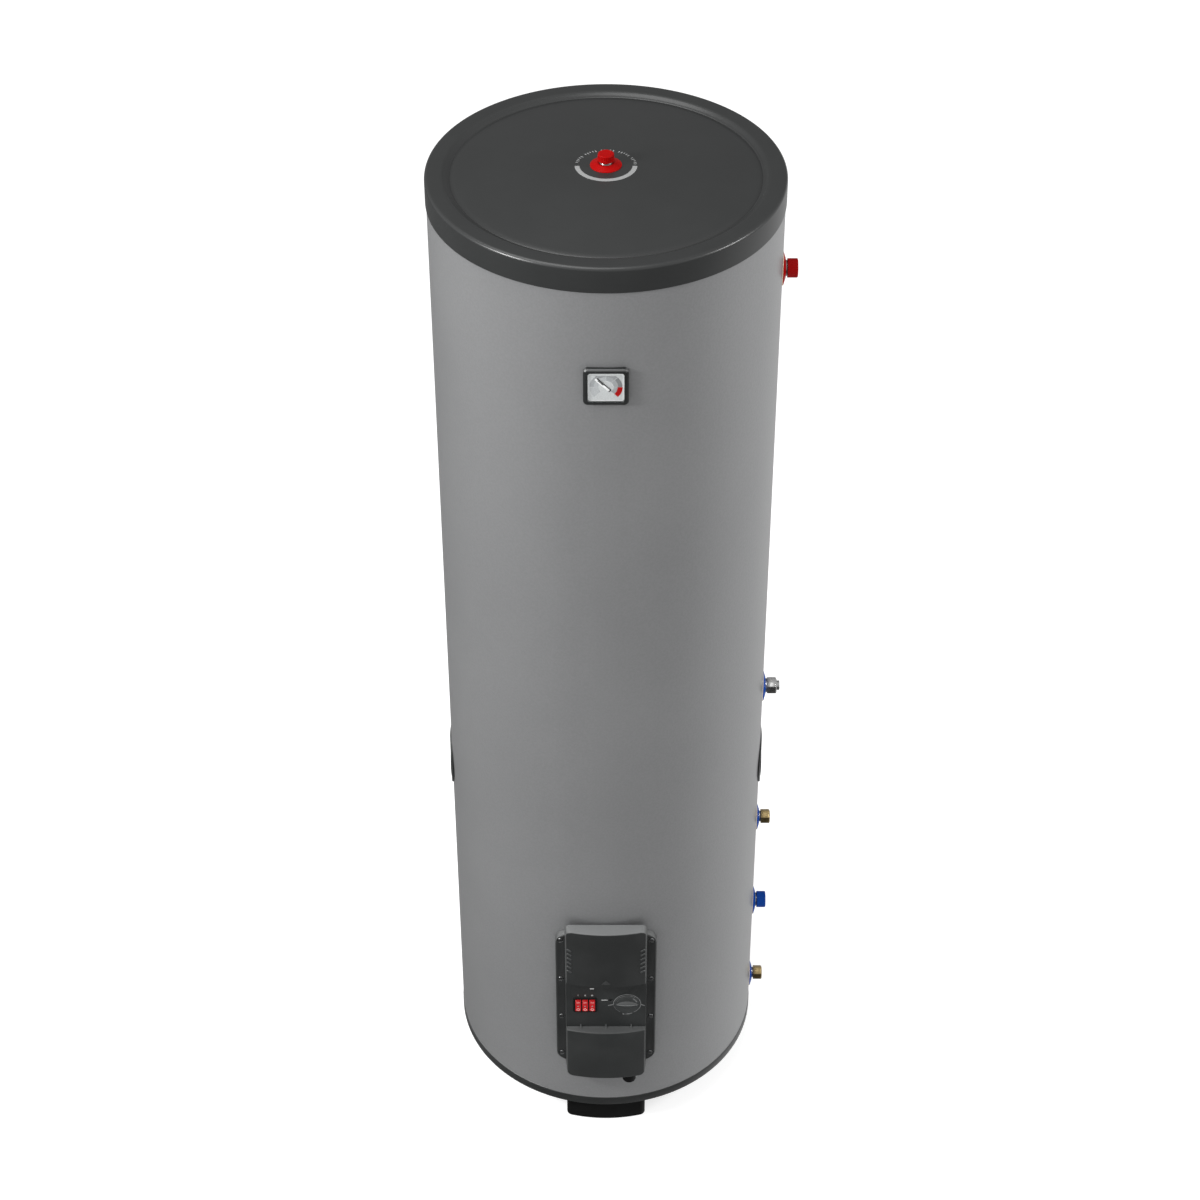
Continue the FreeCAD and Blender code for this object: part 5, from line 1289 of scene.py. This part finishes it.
def buildGauge():
    low, high = sides("gauge_dial")
    width, height = high.x - low.x, high.z - low.z
    middle, front = centreOf("gauge_case").z, sides("gauge_case")[0].y

    def onFront(face):
        depth = face.calc_center_median().y / mm
        return face.normal.y < -gauge["frontUp"] and depth < front + gauge["frontDepth"]

    def outside(point):
        across, up = abs(point.x) / mm / width, abs(point.z / mm - middle) / height
        return max(across, up) > gauge["outerShare"]

    rounded = {"pick": onFront, "where": outside, "width": gauge["chamfer"], "keep": True}
    softCopy("gaugeBezel", "gauge_case", gauge["edge"], extra["case"], rounded)

    def onDial(u, v, lift):
        return spot(u, low.y - lift, middle + v)

    def addPrint(name, shapes, tone, thick=1.0):
        shape = slab(shapes, onDial, gauge["thinMark"] * thick)
        addDetail(name, shape, "gauge_dial", extra[tone])

    # border as a frame of short quads round the plate
    outlines = []
    for inset, corner in ((gauge["plateInset"], gauge["plateCorner"]),
                          (2 * gauge["border"], gauge["borderCorner"])):
        outlines.append(roundedShape(0.0, 0.0, width - inset, height - inset, corner))
    plate, inner = outlines
    quads = []
    for index in range(len(plate)):
        after = (index + 1) % len(plate)
        quads.append([plate[index], plate[after], inner[after], inner[index]])
    addPrint("dialBorder", quads, "dialBorder")
    # two printed rings in sectors, flattened at the top
    rings = {"dialDark": [], "dialMid": [], "dialLight": [], "dialPale": []}
    outerBand = (gauge["split"] + gauge["splitGap"], gauge["outer"])
    innerBand = (gauge["inner"], gauge["split"])
    for start, end, outerTone, innerTone in sectors:
        for band, tone in ((outerBand, outerTone), (innerBand, innerTone)):
            if tone:
                ends = (start - gauge["gap"], end + gauge["gap"])
                shape = bandShape(*band, *ends, gauge["bandSteps"])
                rings[tone].append(clipTop(shape, gauge["top"]))
    for tone, shapes in rings.items():
        addPrint(tone + "Fan", shapes, tone)
    more = gauge["redMore"]
    redBand = (gauge["split"] - more, gauge["outer"] + more)
    red = bandShape(*redBand, *gauge["red"], gauge["bandSteps"])
    addPrint("dialRedZone", [red], "dialRed", gauge["redInk"])
    buildNeedle(middle)


def buildNeedle(middle):
    softCopy("pointer", "gauge_needle", needle["edge"])
    front = -sides("gauge_needle")[0].y - needle["hubRise"]

    def onNeedle(u, v, lift):
        x, z = turned(u, v, needle["turn"])
        return spot(x, -(front + lift), middle + z)

    # painted shade: dark strips along one edge of the arm and across its tail for its sides in
    # shade, and a dark strip filling the slot
    width, edge, tail, out = needle["width"], needle["rim"], needle["tail"], needle["rimOut"]
    centre, long = (needle["tip"] - tail) / 2, needle["tip"] + tail - needle["rimShort"]
    start, end = needle["slotFrom"], needle["slotTo"]
    slotLong = end - start + needle["slotMore"]
    strips = [
        boxShape(centre, edge / 2 - width / 2 + out, long, edge),
        boxShape(edge / 2 - tail + out, 0.0, edge, width - needle["rimNarrow"]),
        boxShape((start + end) / 2, 0.0, slotLong, needle["slotWidth"]),
    ]
    shape = slab(strips, onNeedle, needle["hubRise"] + needle["rimProud"])
    addDetail("pointerEdge", shape, "gauge_needle", extra["dark"])


buildGauge()
print("thermometer made")


# base and handles

base = {"panEdge": 0.8, "footEdge": 1.0, "handleEdge": 0.8}

softCopy("basePan", "base_pan", base["panEdge"])
for side in ("front", "right", "left"):
    softCopy("foot" + side.capitalize(), "foot_" + side, base["footEdge"], extra["footBlack"])
    if side != "front":
        softCopy("handle" + side.capitalize(), "handle_" + side, base["handleEdge"])
print("base and handles made")


# camera, floor and light, with places in metres

view = {"lens": 82.24, "sensor": 36.0, "forward": 3.774, "height": 4.165, "tilt": 50.855,
        "shift": -0.005}
floorPaper = {"half": 30.0, "colours": (rgb(0.50, 0.50, 0.50), rgb(0.52, 0.52, 0.52)),
              "noise": (0.8, 2.0), "rough": 0.9, "glow": rgb(0.94, 0.94, 0.94), "glowPower": 0.78}
studio = {"skyFront": 0.58, "skyBack": 0.22, "front": 0.05, "left": 0.13, "right": 0.74,
          "sideSpan": (-0.5, 0.5), "lowSpan": (-0.8, 0.3), "skySpan": (0.4, 0.9),
          "horizon": (-0.12, 0.02)}
# power, width and length, and where each lamp stands and points
lamps = {
    "keyLight": (100.0, 0.7, 0.7, (-2.6, -1.54, 3.0), (0.0, 0.0, 1.3)),
    "topLight": (78.0, 3.2, 2.4, (-1.0, -0.6, 5.0), (0.0, 0.0, 2.0)),
    "sideLight": (54.0, 0.7, 0.7, (3.2, -0.64, 3.2), (0.0, 0.0, 1.1)),
}


def buildSurroundings():
    # an even pale dome that darkens low in front
    sheet = Sheet("studio", "worlds")
    across, along, up = sheet.axes(sheet.node("ShaderNodeTexCoord", out="Generated"))

    def blend(value, span, first, second):
        return sheet.step(value, *studio[span]) * (second - first) + first

    level = blend(across, "sideSpan", studio["left"], studio["right"])
    low = blend(along, "lowSpan", studio["front"], level)
    high = blend(along, "skySpan", studio["skyFront"], studio["skyBack"])
    white = {"Color": rgb(1.0, 1.0, 1.0), "Strength": blend(up, "horizon", low, high)}
    glow = sheet.node("ShaderNodeBackground", {}, white)
    sheet.node("ShaderNodeOutputWorld", {}, {"Surface": glow})
    bpy.context.scene.world = sheet.owner


def buildFloor():
    mesh = bpy.data.meshes.new("floor")
    corners = boxShape(0.0, 0.0, 2 * floorPaper["half"], 2 * floorPaper["half"])
    mesh.from_pydata([(x, y, 0.0) for x, y in corners], [], [(0, 1, 2, 3)])
    sheet = Sheet("floorPaper")
    tone = sheet.between(sheet.noise(*floorPaper["noise"]), *floorPaper["colours"])
    paper = sheet.finish(Base_Color=tone, Roughness=floorPaper["rough"],
                         Emission_Color=floorPaper["glow"],
                         Emission_Strength=floorPaper["glowPower"])
    mesh.materials.append(paper)
    floor = addObject("floor", mesh)
    floor.visible_glossy = False


def buildStage():
    camera = bpy.data.cameras.new("camera")
    camera.lens = view["lens"]
    camera.sensor_width = view["sensor"]
    camera.shift_x = view["shift"]
    eye = (0.0, -view["forward"], view["height"])
    tilt = (math.radians(view["tilt"]), 0.0, 0.0)
    bpy.context.scene.camera = addObject("camera", camera, eye, tilt)
    buildFloor()
    buildSurroundings()
    for name, (power, across, along, place, target) in lamps.items():
        lamp = bpy.data.lights.new(name, "AREA")
        lamp.energy = power
        lamp.shape = "RECTANGLE"
        lamp.size = across
        lamp.size_y = along
        aim = (Vector(target) - Vector(place)).to_track_quat("-Z", "Y")
        addObject(name, lamp, place, aim.to_euler())
    bpy.context.scene.view_settings.view_transform = "Standard"


buildStage()
print("stage made")
